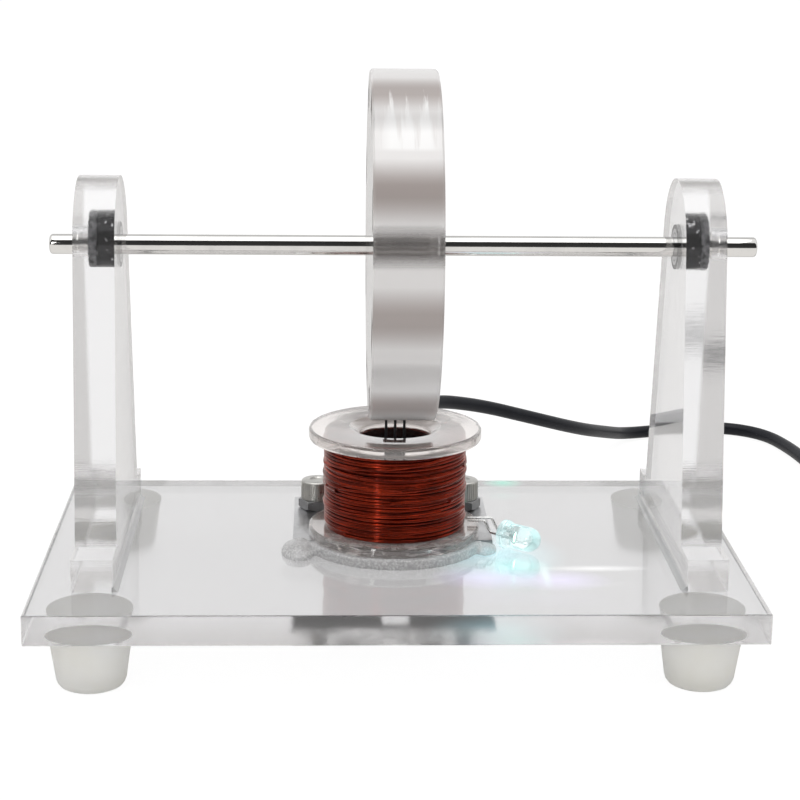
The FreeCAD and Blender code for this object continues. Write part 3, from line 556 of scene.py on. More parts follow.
class Graph:
    """The nodes of a material, on the piece's own coordinates, or of the world."""

    def __init__(self, owner: bpy.types.Material | bpy.types.World) -> None:
        """Clears the nodes and adds the output and the coordinates.

        Args:
            owner: a new material or world.
        """
        self.owner = owner
        owner.use_nodes = True
        self.nodes = owner.node_tree.nodes
        self.nodes.clear()
        kind, place = (("World", "Generated") if isinstance(owner, bpy.types.World)
                       else ("Material", "Object"))
        self.out = self.nodes.new("ShaderNodeOutput" + kind)
        self.here = self.nodes.new("ShaderNodeTexCoord").outputs[place]

    def add(self, kind: str, inputs: dict[str, Feed], output: str = "",
            **settings: object) -> bpy.types.NodeSocket:
        """Adds a node and feeds its sockets.

        Args:
            kind: the node's type without its prefix.
            inputs: a link, number or colour for each socket.
            output: the name of the socket that is wanted, or the first one.
            settings: the node's own settings.

        Returns:
            The wanted output socket.
        """
        node = self.nodes.new("ShaderNode" + kind)
        for name, value in settings.items():
            setattr(node, name, value)
        for name, value in inputs.items():
            self.feed(node.inputs[int(name) if name.isdigit() else name], value)
        return node.outputs[output or 0]

    def feed(self, socket: bpy.types.NodeSocket, value: Feed) -> None:
        """Links a socket or sets its own value.

        Args:
            socket: the socket.
            value: a link, number or colour.
        """
        if isinstance(value, bpy.types.NodeSocket):
            self.owner.node_tree.links.new(socket, value)
        elif isinstance(value, tuple) and socket.type == "RGBA":
            socket.default_value = (*value, 1.0)
        else:
            socket.default_value = value

    def scaled(self, stretch: Place = (1, 1, 1), centre: Place = (0, 0, 0),
               turn: Place = (0, 0, 0)) -> bpy.types.NodeSocket:
        """Gives the piece's coordinates in millimetres.

        Args:
            stretch: a factor for each direction.
            centre: where zero lies.
            turn: how the directions are turned, in degrees.

        Returns:
            The coordinates.
        """
        moved = self.add("VectorMath", {"0": self.here, "1": tuple(metres(centre))},
                         operation="SUBTRACT")
        return self.add("Mapping", {
            "Vector": moved, "Rotation": tuple(math.radians(angle) for angle in turn),
            "Scale": tuple(factor / MM for factor in stretch)})

    def noise(self, scale: float, detail: float = 2.0, rough: float = 0.5,
              stretch: Place = (1, 1, 1), centre: Place = (0, 0, 0)) -> bpy.types.NodeSocket:
        """Gives soft noise whose scale counts per millimetre."""
        return self.add("TexNoise", {"Vector": self.scaled(stretch, centre), "Scale": scale,
                                     "Detail": detail, "Roughness": rough}, "Fac")

    def between(self, value: Feed, low: float, high: float,
                source: tuple[float, float] = (0.3, 0.7)) -> bpy.types.NodeSocket:
        """Maps a value from its source range to low and high."""
        return self.add("MapRange", {"Value": value, "From Min": source[0],
                                     "From Max": source[1], "To Min": low, "To Max": high})

    def blend(self, share: Feed, first: Feed, second: Feed) -> bpy.types.NodeSocket:
        """Mixes two colours.

        Args:
            share: the second one's share.
            first: one colour.
            second: the other.

        Returns:
            The mixed colour.
        """
        node = self.nodes.new("ShaderNodeMix")
        node.data_type = "RGBA"
        self.feed(node.inputs[0], share)
        self.feed(node.inputs[6], first)
        self.feed(node.inputs[7], second)
        return node.outputs[2]

    def part(self, vector: bpy.types.NodeSocket, name: str) -> bpy.types.NodeSocket:
        """Takes one part out of a vector.

        Args:
            vector: the vector.
            name: X, Y or Z.

        Returns:
            The part.
        """
        node = self.nodes.new("ShaderNodeSeparateXYZ")
        self.feed(node.inputs[0], vector)
        return node.outputs[name]

    def sum(self, kind: str, first: Feed, second: Feed = 0.0) -> bpy.types.NodeSocket:
        """Does one step of arithmetic."""
        return self.add("Math", {"0": first, "1": second}, operation=kind)

    def bump(self, height: bpy.types.NodeSocket, strength: float, depth: float,
             over: bpy.types.NodeSocket | None = None) -> bpy.types.NodeSocket:
        """Makes a bumped normal.

        Args:
            height: the pattern.
            strength: how strongly it shows.
            depth: its height.
            over: a bumped normal below this one.

        Returns:
            The normal.
        """
        inputs = {"Height": height, "Strength": strength, "Distance": depth * MM}
        if over is not None:
            inputs["Normal"] = over
        return self.add("Bump", inputs)

    def surface(self, **inputs: Feed) -> bpy.types.NodeSocket:
        """Makes the shader; a socket's name has underscores for its spaces."""
        return self.add("BsdfPrincipled",
                        {name.replace("_", " "): value for name, value in inputs.items()})

    def mix(self, share: Feed, first: bpy.types.NodeSocket,
            second: bpy.types.NodeSocket) -> bpy.types.NodeSocket:
        """Mixes two shaders by the second one's share."""
        return self.add("MixShader", {"0": share, "1": first, "2": second})

    def close(self, shader: bpy.types.NodeSocket) -> bpy.types.Material | bpy.types.World:
        """Wires the shader to the output and returns what the nodes belong to."""
        self.feed(self.out.inputs["Surface"], shader)
        return self.owner

    def close_clear(self, shader: bpy.types.NodeSocket, share: float) -> bpy.types.Material:
        """Wires a clear shader that lets the lamps' light through.

        Args:
            shader: the shader.
            share: the share of the light that passes each face.

        Returns:
            The material.
        """
        shadow = self.add("LightPath", {}, "Is Shadow Ray")
        through = self.add("BsdfTransparent", {"Color": (share, share, share)})
        return self.close(self.mix(shadow, shader, through))


@dataclass(frozen=True)
class Finish:
    """A finish that several pieces may share. Each kind makes its own material once."""

    name: str
    slot: str
    tone: Colour
    roughness: float

    def material(self) -> bpy.types.Material:
        """Makes the finish's material at its first use.

        Returns:
            The material.
        """
        title = f"{self.name}_finish"
        made = bpy.data.materials.get(title)
        return made or self.make(Graph(bpy.data.materials.new(title)))

    def make(self, graph: Graph) -> bpy.types.Material:
        """Builds the nodes. Each kind of finish has its own.

        Args:
            graph: the material's nodes.

        Returns:
            The material.
        """
        raise NotImplementedError


@dataclass(frozen=True)
class ClearSheet(Finish):
    """Clear acrylic: faintly hazed faces, frosted cut edges and a rough bearing pocket."""

    haze: float = 0.05
    edge_haze: float = 0.02
    edge_rough: float = 0.06
    through: float = 0.6
    faces: Axis = Axis.Z
    streaks: float = 0.35
    coat: float = 0.4
    pocket: float = 0.0
    well: float = 0.0
    top_painted_shade: Colour = (0.62, 0.615, 0.62)
    joined: Joint = Joint.NONE
    painted_light: bool = False
    lit: float = 0.0

    def make(self, graph: Graph) -> bpy.types.Material:
        """Builds clear plastic whose cut edges carry fine streaks across the sheet.

        Args:
            graph: the material's nodes.

        Returns:
            The material.
        """
        flat = graph.sum("ABSOLUTE", graph.part(graph.add("NewGeometry", {}, "Normal"),
                                                self.faces.name))
        edge = graph.between(flat, 1.0, 0.0, (0.3, 0.9))
        waves = graph.noise(0.3, 2.0)
        scuffs = graph.noise(0.12, 6.0, 0.65, (1, 6, 1))
        normal = graph.bump(waves, 0.05, 0.05)
        if self.streaks:
            across = tuple(0.04 if part else 1.0 for part in self.faces.value)
            streak = graph.noise(3.5, 4.0, 0.65, across)
            normal = graph.add("Bump", {
                "Height": streak, "Strength": graph.sum("MULTIPLY", edge, self.streaks),
                "Distance": 0.05 * MM, "Normal": normal})
        rough = graph.between(scuffs, self.roughness * 0.75, self.roughness * 1.3)
        rough = graph.sum("ADD", rough, graph.sum("MULTIPLY", edge, self.edge_rough))
        haze = graph.between(edge, self.haze, self.haze + self.edge_haze, (0.0, 1.0))
        if self.pocket:
            inside = self.near(graph, (0.0, 0.0, AXIS_HEIGHT), ("Y", "Z"), self.pocket)
            chips = graph.noise(1.3, 3.0, 0.6)
            normal = graph.add("Bump", {
                "Height": chips, "Strength": inside, "Distance": 0.06 * MM, "Normal": normal})
            rough = graph.sum("ADD", rough, graph.sum("MULTIPLY", inside, 0.02))
        if self.well:
            inside = self.near(graph, (*COIL_CENTRE, 0.0), ("X", "Y"), self.well)
            haze = graph.sum("MULTIPLY", haze, graph.between(inside, 1.0, 0.1, (0.0, 1.0)))
            # The countersunk mouth is made milky, a pale ring that is a painted highlight.
            mouth = graph.between(graph.part(graph.scaled(), "Z"), 0.0, 0.5, (39.9, 40.3))
            haze = graph.sum("ADD", haze, graph.sum("MULTIPLY", mouth, inside))
        inputs: dict[str, Feed] = {
            "Base_Color": self.tone, "IOR": 1.49, "Roughness": rough, "Normal": normal,
            "Transmission_Weight": graph.sum("SUBTRACT", 1.0, haze),
            "Coat_Weight": self.coat, "Coat_Roughness": 0.03}
        # Painted light: the lens glows faintly on its own, for the chip's light scattered in it.
        if self.lit:
            inputs.update({"Emission_Color": (0.55, 0.97, 1.0), "Emission_Strength": self.lit})
        # The diode's light on the plate is painted in.
        if self.painted_light:
            inputs.update(self.paint_light_pools(graph))
        if self.joined is not Joint.NONE:
            inputs["Alpha"] = self.joint(graph)
        return graph.close_clear(graph.surface(**inputs), self.through)

    def near(self, graph: Graph, centre: Place, parts: tuple[str, str],
             reach: float) -> bpy.types.NodeSocket:
        """Marks what is near a line along one axis.

        Args:
            graph: the material's nodes.
            centre: a place on the line.
            parts: the two directions across it.
            reach: how near it has to be.

        Returns:
            1 near the line and 0 away from it.
        """
        place = graph.scaled(centre=centre)
        squares = [graph.sum("POWER", graph.part(place, name), 2.0) for name in parts]
        away = graph.sum("POWER", graph.sum("ADD", *squares), 0.5)
        return graph.between(away, 1.0, 0.0, (reach, reach + 0.1))

    def joint(self, graph: Graph) -> bpy.types.NodeSocket:
        """Marks where the piece is cemented to its neighbour, so that no face shows there.

        Args:
            graph: the material's nodes.

        Returns:
            0 at the joint and 1 elsewhere.
        """
        place = graph.scaled()
        if self.joined is Joint.UPRIGHT:
            foot = graph.between(graph.part(place, "Z"), 0.0, 1.0,
                                 (BASE_TOP + 0.01, BASE_TOP + 0.02))
            out = graph.sum("ABSOLUTE", graph.part(place, "X"))
            mouth, bottom, bore = 54.6, 61.12, 4.56
            deep = graph.sum("MULTIPLY", graph.between(out, 0.0, 1.0, (mouth, mouth + 0.02)),
                             graph.between(out, 1.0, 0.0, (bottom, bottom + 0.02)))
            wall = self.near(graph, (0.0, 0.0, AXIS_HEIGHT), ("Y", "Z"), bore)
            glued = graph.sum("MULTIPLY", wall, deep)
            return graph.sum("MULTIPLY", foot, graph.sum("SUBTRACT", 1.0, glued))
        share = graph.between(graph.part(place, "Z"), 0.0, 1.0,
                              (BASE_TOP - 0.1, BASE_TOP - 0.08))
        half = graph.sum("ABSOLUTE", graph.part(place, "Y"))
        long, wide, middles = 30.7, 3.78, (-59.3, 58.7)
        share = graph.sum("MULTIPLY", share, graph.between(half, 1.0, 0.0, (long, long + 0.1)))
        strips = [graph.between(graph.sum("ABSOLUTE", graph.sum(
            "SUBTRACT", graph.part(place, "X"), middle)), 1.0, 0.0, (wide, wide + 0.02))
            for middle in middles]
        share = graph.sum("MULTIPLY", share, graph.sum("ADD", *strips))
        return graph.sum("SUBTRACT", 1.0, share)

    def paint_light_pools(self, graph: Graph) -> dict[str, Feed]:
        """Paints the diode's coloured light on the plate as pools of emission and tint, with a
        darker top face that is painted shade.

        Args:
            graph: the material's nodes.

        Returns:
            The shader's sockets that carry it.
        """
        top = graph.between(graph.part(graph.scaled(), "Z"), 0.0, 1.0,
                            (BASE_TOP - 0.1, BASE_TOP - 0.05))
        colour: Feed = (0.0, 0.0, 0.0)
        # The top face's darker tone is painted shade.
        body: Feed = graph.blend(top, self.tone, self.top_painted_shade)
        # Each pool is painted light: it tints the surface and glows a little.
        for centre, sizes, turn, tone in PAINTED_LIGHT_POOLS:
            place = graph.scaled(tuple(1 / size for size in sizes), (*centre, BASE_TOP),
                                 (0, 0, turn))
            length = graph.add("VectorMath", {"0": place}, "Value", operation="LENGTH")
            share = graph.sum("MULTIPLY", graph.between(length, 1.0, 0.0, (0.0, 1.0)), top)
            share = graph.sum("POWER", share, 1.2)
            colour = graph.blend(share, colour, tone)
            body = graph.blend(graph.sum("MULTIPLY", share, 0.55), body, tone)
        return {"Base_Color": body, "Emission_Color": colour, "Emission_Strength": 0.26}


@dataclass(frozen=True)
class TurnedClear(Finish):
    """Clear plastic turned on a lathe: its rim is milky, with painted soft shade over the magnets
    and a painted highlight over one gap.
    """

    haze: float = 0.1
    slots: int = 8
    shades: int = 9
    through: float = 0.6
    centre: Place = (0.0, 0.0, AXIS_HEIGHT)
    rim_from: float = 34.1
    # The rim's shade lobes are painted shade and its bright patch is a painted highlight; both
    # turn with the disc.
    shade_angle: float = 63.2
    shade: Colour = (0.37, 0.325, 0.31)
    window_angle: float = 80.5
    painted_sheen_edge: float = 49.5
    painted_sheen_pitch: float = 3.2

    def make(self, graph: Graph) -> bpy.types.Material:
        """Builds clear faces, and a rim that is milky, clearer, painted darker as shade or painted
        bright as a highlight, by angle.

        Args:
            graph: the material's nodes.

        Returns:
            The material.
        """
        place = graph.scaled(centre=self.centre)
        angle = graph.sum("ARCTAN2", graph.part(place, "Y"), graph.part(place, "Z"))
        radius = graph.sum("POWER", graph.sum(
            "ADD", graph.sum("POWER", graph.part(place, "Y"), 2.0),
            graph.sum("POWER", graph.part(place, "Z"), 2.0)), 0.5)
        rim = graph.between(radius, 0.0, 1.0, (self.rim_from, self.rim_from + 0.2))
        # Painted shade: darker, milkier lobes on the rim, strongest near the shade angle.
        dark = graph.sum("MULTIPLY", self.lobe(graph, angle, self.shade_angle, self.shades, -0.1),
                         self.lobe(graph, angle, self.shade_angle, 1, -3.0))
        dark = graph.sum("MULTIPLY", dark, rim)
        window = graph.sum(
            "MULTIPLY", self.lobe(graph, angle, self.window_angle, self.slots, 0.55),
            self.lobe(graph, angle, self.window_angle, 1, 0.6))
        # Painted highlight: the bright patch is blended in as a near-white tone.
        bright = graph.sum("MULTIPLY", self.painted_sheen(graph, place, angle), rim)
        tone = graph.blend(bright, graph.blend(dark, self.tone, self.shade), (0.98, 0.98, 0.98))
        milk = graph.sum("ADD", graph.between(dark, 0.8, 0.88, (0.0, 1.0)),
                         graph.sum("MULTIPLY", window, -0.76))
        haze = graph.between(rim, self.haze, milk, (0.0, 1.0))
        soft = graph.between(window, self.roughness, self.roughness * 0.25, (0.0, 1.0))
        rings = graph.noise(1.0, 4.0, 0.6, (2.0, 0.02, 0.02), self.centre)
        swell = graph.noise(1.0, 1.0, 0.4, (0.25, 0.05, 0.05), self.centre)
        normal = graph.bump(rings, 0.03, 0.01, graph.bump(swell, 0.3, 0.4))
        return graph.close_clear(graph.surface(
            Base_Color=tone, Transmission_Weight=graph.sum("SUBTRACT", 1.0, haze), IOR=1.49,
            Roughness=graph.between(rim, 0.1, soft, (0.0, 1.0)),
            Coat_Weight=0.5, Coat_Roughness=0.12, Normal=normal), self.through)

    def lobe(self, graph: Graph, angle: bpy.types.NodeSocket, centre: float, count: int,
             low: float) -> bpy.types.NodeSocket:
        """Gives soft lobes about the axis.

        Args:
            graph: the material's nodes.
            angle: the angle about the axis.
            centre: one lobe's angle from straight up towards the front, in degrees.
            count: how many lobes there are.
            low: the cosine at which they reach 0; they reach 1 at 0.95.

        Returns:
            The lobes, from 0 to 1.
        """
        turned_by = graph.sum("ADD", angle, math.radians(centre))
        wave = graph.sum("COSINE", graph.sum("MULTIPLY", turned_by, float(count)))
        return graph.between(wave, 0.0, 1.0, (low, 0.95))

    def painted_sheen(self, graph: Graph, place: bpy.types.NodeSocket,
              angle: bpy.types.NodeSocket) -> bpy.types.NodeSocket:
        """Gives the painted highlight: a jagged bright patch over one gap, sharp at its lower
        edge.

        Args:
            graph: the material's nodes.
            place: the coordinates from the disc's centre.
            angle: the angle about the axis.

        Returns:
            The patch, from 0 to 1.
        """
        rise = graph.sum("DIVIDE", graph.sum("ADD", angle, math.radians(self.painted_sheen_edge)),
                         math.radians(25.0))
        across = graph.part(place, "X")
        along = graph.sum("PINGPONG", graph.sum("ADD", across, 10 * self.painted_sheen_pitch - 0.3),
                          self.painted_sheen_pitch / 2)
        off = graph.sum("ABSOLUTE", graph.sum("SUBTRACT", across, 0.6))
        peak = graph.between(along, 1.0, 0.25, (0.0, self.painted_sheen_pitch / 2))
        ragged = graph.between(graph.noise(1.0, 3.0, 0.6, (1.4, 0.1, 0.1)), -0.3, 0.3)
        top = graph.sum("SUBTRACT", graph.sum("ADD", peak, ragged), rise)
        lit = graph.sum("MULTIPLY", graph.between(top, 0.0, 0.9, (-0.05, 0.3)),
                        graph.between(off, 1.0, 0.2, (3.6, 6.0)))
        return graph.sum("MULTIPLY", lit, graph.between(rise, 0.0, 1.0, (-0.03, 0.03)))


@dataclass(frozen=True)
class Milky(Finish):
    """Translucent silicone or glue."""

    transmission: float = 0.4
    scatter: float = 0.3
    warm: Colour = (0.8, 0.78, 0.68)
    ior: float = 1.41
    through: float = 0.5
    patches: float = 0.18
    froth: float = 0.02
    foamy: bool = False

    def make(self, graph: Graph) -> bpy.types.Material:
        """Builds a cloudy body with warmer patches and a dull skin.

        Args:
            graph: the material's nodes.

        Returns:
            The material.
        """
        cloud = graph.noise(self.patches, 3.0)
        skin = graph.noise(1.4, 4.0, 0.6)
        clear: Feed = self.transmission
        if self.foamy:
            foam = graph.noise(2.2, 4.0, 0.7)
            clear = graph.between(foam, self.transmission, 0.3, (0.45, 0.7))
        return graph.close_clear(graph.surface(
            Base_Color=graph.blend(graph.between(cloud, 0, 1), self.tone, self.warm),
            Transmission_Weight=clear, IOR=self.ior,
            Roughness=graph.between(skin, self.roughness * 0.8, self.roughness * 1.2),
            Subsurface_Weight=self.scatter, Subsurface_Radius=(1.0, 0.9, 0.7),
            Subsurface_Scale=4 * MM,
            Normal=graph.bump(skin, 0.1 + self.froth, self.froth)), self.through)


@dataclass(frozen=True)
class Metal(Finish):
    """Bare or plated metal, with marks along one direction where it was drawn or turned."""

    grain: Place = (1.0, 1.0, 1.0)
    marks: float = 0.1
    dull: Colour = (0.4, 0.4, 0.4)
    glue_and_glint_specks: bool = False

    def make(self, graph: Graph) -> bpy.types.Material:
        """Builds metal with fine marks, stains and uneven polish.

        Args:
            graph: the material's nodes.

        Returns:
            The material.
        """
        marks = graph.noise(2.0, 5.0, 0.6, self.grain)
        stain = graph.noise(0.15, 4.0, 0.6)
        tone = graph.blend(graph.between(stain, 0.0, 0.35, (0.45, 0.8)), self.tone, self.dull)
        metallic: Feed = 1.0
        # Light specks that are partly glue on the metal and partly painted glints.
        if self.glue_and_glint_specks:
            glue = graph.between(graph.noise(0.9, 4.0, 0.6), 0.0, 1.0, (0.62, 0.66))
            tone = graph.blend(glue, tone, (0.75, 0.75, 0.76))
            metallic = graph.sum("SUBTRACT", 1.0, graph.sum("MULTIPLY", glue, 0.8))
        return graph.close(graph.surface(
            Base_Color=tone, Metallic=metallic,
            Roughness=graph.between(marks, self.roughness * 0.7, self.roughness * 1.4),
            Normal=graph.bump(marks, self.marks, 0.05)))


@dataclass(frozen=True)
class Enamel(Finish):
    """Copper wire under red-brown enamel."""

    deep: Colour = (0.05, 0.004, 0.002)

    def make(self, graph: Graph) -> bpy.types.Material:
        """Builds lacquered copper that differs from turn to turn.

        Args:
            graph: the material's nodes.

        Returns:
            The material.
        """
        turns = graph.noise(0.6, 3.0, 0.6, (0.16, 0.16, 2.2))
        flecks = graph.noise(1.2, 4.0, 0.6)
        tone = graph.blend(graph.between(turns, 0.0, 1.0), self.deep, self.tone)
        return graph.close(graph.surface(
            Base_Color=tone, Metallic=1.0,
            Roughness=graph.between(flecks, self.roughness * 0.8, self.roughness * 1.3),
            Coat_Weight=0.15, Coat_Roughness=0.05, Coat_Tint=(1.0, 0.75, 0.55),
            Normal=graph.bump(flecks, 0.05, 0.01)))


@dataclass(frozen=True)
class Moulded(Finish):
    """Opaque plastic, rubber, lacquer or foam with a fine skin."""

    second: Colour
    grain: float = 3.0
    depth: float = 0.06
    coat: float = 0.0
    shine: float = 0.5

    def make(self, graph: Graph) -> bpy.types.Material:
        """Builds a skin with fine grain and slow changes of tone.

        Args:
            graph: the material's nodes.

        Returns:
            The material.
        """
        skin = graph.noise(self.grain, 4.0, 0.6)
        cloud = graph.noise(0.2, 3.0)
        return graph.close(graph.surface(
            Base_Color=graph.blend(graph.between(cloud, 0.0, 0.6), self.tone, self.second),
            Roughness=graph.between(skin, self.roughness * 0.85, self.roughness * 1.15),
            Coat_Weight=self.coat, Coat_Roughness=0.15, Specular_IOR_Level=self.shine,
            Normal=graph.bump(skin, 0.3, self.depth)))


@dataclass(frozen=True)
class Striped(Finish):
    """Lacquer or sleeve with bands at given places along one direction.

    The bands are places along the part's own axis with their half widths and colours.
    """

    along: Axis = Axis.Y
    zero: float = 0.0
    bands: tuple[tuple[float, float, Colour], ...] = ()
    metallic_from: float = 1000.0

    def make(self, graph: Graph) -> bpy.types.Material:
        """Builds a glossy skin with painted bands.

        Args:
            graph: the material's nodes.

        Returns:
            The material.
        """
        place = graph.part(graph.scaled(), self.along.name)
        cloud = graph.noise(0.5, 3.0)
        skin = graph.noise(3.0, 4.0, 0.6)
        darker = (self.tone[0] * 0.85, self.tone[1] * 0.85, self.tone[2] * 0.85)
        tone: Feed = graph.blend(graph.between(cloud, 0.0, 1.0), self.tone, darker)
        for centre, half, colour in self.bands:
            away = graph.sum("ABSOLUTE", graph.sum("SUBTRACT", place, self.zero + centre))
            tone = graph.blend(graph.between(away, 1.0, 0.0, (half, half + 0.05)), tone, colour)
        metal = graph.between(place, 0.0, 1.0, (self.metallic_from, self.metallic_from + 0.02))
        return graph.close(graph.surface(
            Base_Color=graph.blend(metal, tone, (0.75, 0.75, 0.75)), Metallic=metal,
            Roughness=graph.between(skin, self.roughness * 0.85, self.roughness * 1.2),
            Coat_Weight=0.3, Coat_Roughness=0.12, Normal=graph.bump(skin, 0.2, 0.03)))


@dataclass(frozen=True)
class Glow(Finish):
    """The lit chip in the diode."""

    strength: float = 5.0

    def make(self, graph: Graph) -> bpy.types.Material:
        """Builds a bright spot with a paler core.

        Args:
            graph: the material's nodes.

        Returns:
            The material.
        """
        core = graph.noise(3.0, 1.0)
        return graph.close(graph.surface(
            Base_Color=self.tone, Roughness=self.roughness,
            Emission_Color=graph.blend(core, self.tone, (0.85, 1.0, 0.92)),
            Emission_Strength=self.strength))


# Painted light from the diode on the plate: coloured pools, a white beam, a thin ray and a glint
# on the back edge, each with its centre, sizes, turn and colour.
PAINTED_LIGHT_POOLS: tuple[tuple[tuple[float, float], Place, float, Colour], ...] = (
    ((17.0, -22.5), (12.0, 8.0, 50.0), 0.0, (0.68, 0.58, 1.0)),
    ((31.0, -24.0), (11.0, 7.0, 50.0), 0.0, (0.7, 0.62, 1.0)),
    ((19.5, -9.0), (15.0, 18.0, 50.0), 0.0, (0.45, 0.9, 1.0)),
    ((23.0, -16.0), (8.0, 6.5, 50.0), 0.0, (0.35, 1.0, 0.95)),
    ((39.0, -17.2), (13.0, 2.2, 50.0), 5.0, (1.0, 1.0, 1.0)),
    ((28.5, -21.0), (1.4, 9.0, 50.0), -16.0, (0.8, 1.0, 1.0)),
    ((25.3, 41.5), (5.0, 4.0, 50.0), 0.0, (0.1, 1.0, 0.7)),
)
ACRYLIC = ClearSheet("acrylic", "clear_acrylic", (0.875, 0.868, 0.875), 0.09, streaks=0.0,
                     coat=0.6, painted_light=True, joined=Joint.PLATE)
UPRIGHT_CLEAR = ClearSheet("upright_clear", "clear_acrylic", (0.89, 0.885, 0.89), 0.03,
                           haze=0.02, faces=Axis.X, coat=0.0, pocket=4.65, joined=Joint.UPRIGHT)
ROTOR_CLEAR = TurnedClear("rotor_clear", "clear_acrylic", (0.82, 0.805, 0.8), 0.4)
BOBBIN_CLEAR = ClearSheet("bobbin_clear", "bobbin_plastic", (0.95, 0.89, 0.86), 0.06, haze=0.1,
                          edge_haze=0.0, edge_rough=0.0, streaks=0.0, coat=1.0, well=9.3)
SILICONE = Milky("silicone", "silicone", (0.89, 0.89, 0.88), 0.6, transmission=0.4,
                 scatter=0.0, warm=(0.85, 0.84, 0.79), patches=0.1, froth=0.002)
GLUE = Milky("glue", "clear_glue", (0.97, 0.97, 0.97), 0.12, transmission=0.62, scatter=0.0,
             warm=(0.86, 0.86, 0.87), ior=1.45, patches=1.2, froth=0.4, foamy=True)
CEMENT = Milky("cement", "clear_glue", (0.97, 0.97, 0.97), 0.12, transmission=0.62, scatter=0.0,
               warm=(0.93, 0.94, 0.95), ior=1.45)
# The bead's near-black tone is painted shade for the dark pocket behind the bearing.
PAINTED_DARK_BEARING_GLUE = Milky("bearing_glue", "bearing_glue", (0.02, 0.02, 0.022), 0.2, transmission=0.1,
                     scatter=0.0, warm=(0.22, 0.22, 0.23), ior=1.5, patches=0.9)
POLISHED = Metal("polished", "polished_steel", (0.74, 0.73, 0.71), 0.06, (0.15, 2.0, 2.0), 0.03)
RACE = Metal("race", "bearing_steel", (0.42, 0.42, 0.43), 0.09, (2.0, 0.3, 0.3), 0.1,
             (0.25, 0.25, 0.26))
# The glued outer ring's near-black tone is painted shade, and its light specks are partly painted
# glints.
PAINTED_DARK_GLUED_RACE = Metal("glued_race_painted_dark", "bearing_steel", (0.035, 0.035, 0.037), 0.1, (2.0, 0.3, 0.3), 0.1,
                   (0.02, 0.02, 0.022), glue_and_glint_specks=True)
NICKEL = Metal("nickel", "magnet_nickel", (0.34, 0.29, 0.27), 0.3, dull=(0.22, 0.17, 0.16))
BRACKET = Metal("bracket", "satin_aluminium", (0.72, 0.72, 0.73), 0.32, (0.2, 2.5, 2.5), 0.15)
SCREW = Metal("screw", "screw_steel", (0.6, 0.59, 0.56), 0.33)
DARK_STEEL = Metal("dark_steel", "dark_steel", (0.3, 0.3, 0.305), 0.35)
TINNED = Metal("tinned", "tinned_copper", (0.7, 0.7, 0.69), 0.25)
PLUG_NICKEL = Metal("plug_nickel", "plug_nickel", (0.72, 0.7, 0.66), 0.14, (0.3, 2.0, 0.3), 0.08)
ENAMEL = Enamel("enamel", "enamelled_wire", (0.34, 0.032, 0.009), 0.17)
EPOXY_BLACK = Moulded("epoxy_black", "black_epoxy", (0.018, 0.018, 0.02), 0.5,
                      (0.03, 0.03, 0.032))
INSULATION = Moulded("insulation", "wire_insulation", (0.03, 0.03, 0.032), 0.4,
                     (0.05, 0.05, 0.052))
LAMINATE = Moulded("laminate", "board_laminate", (0.02, 0.12, 0.05), 0.35, (0.03, 0.18, 0.07),
                   grain=1.5, coat=0.5)
FOAM = Moulded("foam", "foam", (0.75, 0.75, 0.72), 0.9, (0.6, 0.6, 0.58), grain=2.0, depth=0.2)
BANDED = Striped("banded", "component_enamel", (0.62, 0.5, 0.34), 0.35, zero=30.3, bands=(
    (-2.4, 0.28, (0.25, 0.09, 0.03)), (-1.2, 0.25, (0.01, 0.01, 0.01)),
    (-0.2, 0.25, (0.6, 0.03, 0.02)), (2.3, 0.25, (0.55, 0.38, 0.08))))
RECTIFIER = Striped("rectifier", "component_black", (0.02, 0.02, 0.024), 0.35, zero=30.3,
                    bands=((1.75, 0.4, (0.6, 0.6, 0.6)),))
SLEEVE = Striped("sleeve", "component_black", (0.015, 0.02, 0.05), 0.3, along=Axis.Z,
                 metallic_from=26.72)
# The diode lens's faint glow is painted light.
EPOXY_CLEAR = ClearSheet("epoxy_clear", "led_epoxy", (0.97, 0.98, 0.98), 0.02, haze=0.12,
                         edge_haze=0.0, edge_rough=0.0, through=0.8, streaks=0.0, lit=0.13)
CHIP = Glow("chip", "led_epoxy", (0.1, 1.0, 0.6), 0.4)
NYLON = Moulded("nylon", "nylon", (0.78, 0.78, 0.76), 0.45, (0.7, 0.7, 0.68))
JACKET = Moulded("jacket", "cable_jacket", (0.006, 0.007, 0.011), 0.4,
                 (0.012, 0.013, 0.018), grain=2.0, depth=0.04, shine=0.22)
TIE = Moulded("tie", "tie_plastic", (0.05, 0.05, 0.055), 0.4, (0.08, 0.08, 0.085))
GRIP = Moulded("grip", "plug_rubber", (0.03, 0.03, 0.033), 0.5, (0.05, 0.05, 0.055))


# ---------------------------------------------------------------- stand


